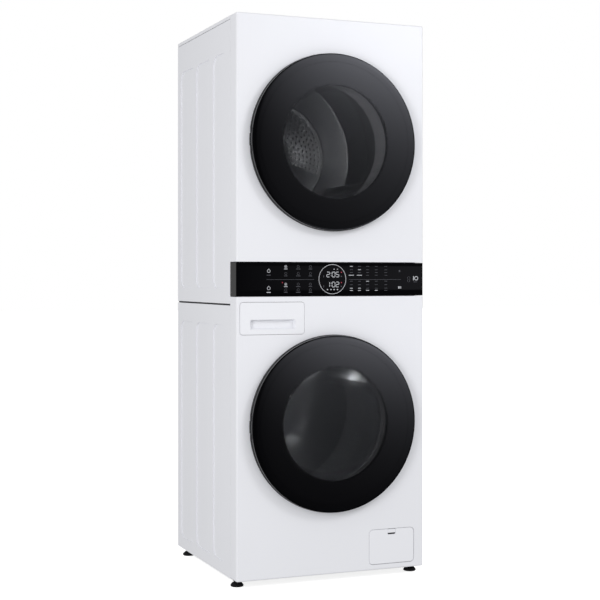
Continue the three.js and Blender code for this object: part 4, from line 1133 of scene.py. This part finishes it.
class STACK_OT_dryer_drum(bpy.types.Operator):
    """Models the dryer's drum with its perforated rear wall and three lifters"""

    bl_idname = "stack.dryer_drum"
    bl_label = "Dryer drum"

    def execute(self, context):
        z = DRYER_Z
        drum = turned("dryer_drum_shell", [
            (0, 497), (48, 497), (52, 494.5), (171, 494.5), (174, 493), (178, 493), (182, 497),
            (262, 497), (272, 493),
            (276, 486), (276, 352), (273.5, 346), (273.5, 338), (276, 332), (276, 232),
            (273.5, 226), (273.5, 218), (276, 212), (276, 100), (270, 99), (214, 99), (208, 101),
            (205, 99), (205, 96), (272, 96), (277, 98), (278, 102), (278, 490), (276, 497),
            (268, 500), (10, 500), (10, 530), (0, 530)], (0, z), 112)
        lifters = []
        for turn in (0, 1, 2):
            lifter = slab("lifter", (-17, 17), (112, 498), (z + 216, z + 276.5))
            round_edges(lifter, lambda e: along(e, 1) and all(v.co.z < (z + 220) / 1000
                        for v in e.verts), 12, 5)
            choose(lifter, "faces", lambda f: f.normal.z > 0.99)
            bpy.ops.transform.resize(value=(2.2, 1, 1), center_override=(0, 0, (z + 276) / 1000))
            done()
            lifters.append(swing(lifter, turn * math.tau / 3, z))
        combine(drum, lifters, "UNION")
        sweep = math.radians(92)  # the arc of holes between two lifters
        holes = []
        for ring in range(8):
            radius = 66 + ring * 13.6
            count = int(radius * sweep / 15.0)
            for sector in range(3):
                hole = rod("cut", sizes().dryer_hole * 1000, 0, (490, 504), z + radius, 6)
                swing(hole, math.radians(sector * 120 + 14), z)
                holes.append(repeat_round(hole, count, sweep, (0, z)))
        combine(drum, [merge(holes, "cut")])
        soften(drum, 0)
        outfit(drum, drum_steel(), "dryer_drum", ["dryer_drum"])
        return {"FINISHED"}


class STACK_OT_carried_over(bpy.types.Operator):
    """Gives every CAD node that stays its real finish"""

    bl_idname = "stack.carried_over"
    bl_label = "Inner pieces"

    def execute(self, context):
        finishes = finish_of_slot()
        slots = sorted(finishes, key=len, reverse=True)
        for name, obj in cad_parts.items():
            if obj.hide_render:
                continue
            given = obj.material_slots[0].material.name
            found = next((s for s in slots if given.startswith(s)), None)
            if found is None:
                raise RuntimeError(f"{name} has no finish for its material {given}")
            for slot in obj.material_slots:
                slot.material = finishes[found]()
        return {"FINISHED"}


MAKERS = (
    STACK_OT_stage, STACK_OT_front_panels, STACK_OT_control_band, STACK_OT_sides_and_top,
    STACK_OT_feet, STACK_OT_doors, STACK_OT_drawer, STACK_OT_filter_door,
    STACK_OT_door_seal, STACK_OT_washer_drum, STACK_OT_dryer_drum, STACK_OT_carried_over,
)


class STACK_PT_pieces(bpy.types.Panel):
    """Lists the pieces with their sizes and colours"""

    bl_label = "Washer dryer stack"
    bl_space_type = "VIEW_3D"
    bl_region_type = "UI"
    bl_category = "Laundry"

    def draw(self, context):
        for maker in MAKERS:
            self.layout.operator(maker.bl_idname)
        for group in (context.scene.stack_sizes, context.scene.stack_colours):
            for key in group.bl_rna.properties.keys():
                if key not in ("rna_type", "name"):
                    self.layout.prop(group, key)


CLASSES = (StackSizes, StackColours, *MAKERS, STACK_PT_pieces)


def register():
    for item in CLASSES:
        bpy.utils.register_class(item)
    bpy.types.Scene.stack_sizes = bpy.props.PointerProperty(type=StackSizes)
    bpy.types.Scene.stack_colours = bpy.props.PointerProperty(type=StackColours)


def unregister():
    del bpy.types.Scene.stack_colours
    del bpy.types.Scene.stack_sizes
    for item in reversed(CLASSES):
        bpy.utils.unregister_class(item)


def main():
    """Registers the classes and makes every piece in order."""
    register()
    for maker in MAKERS:
        getattr(bpy.ops.stack, maker.bl_idname.split(".")[1])()


if __name__ == "__main__":
    main()
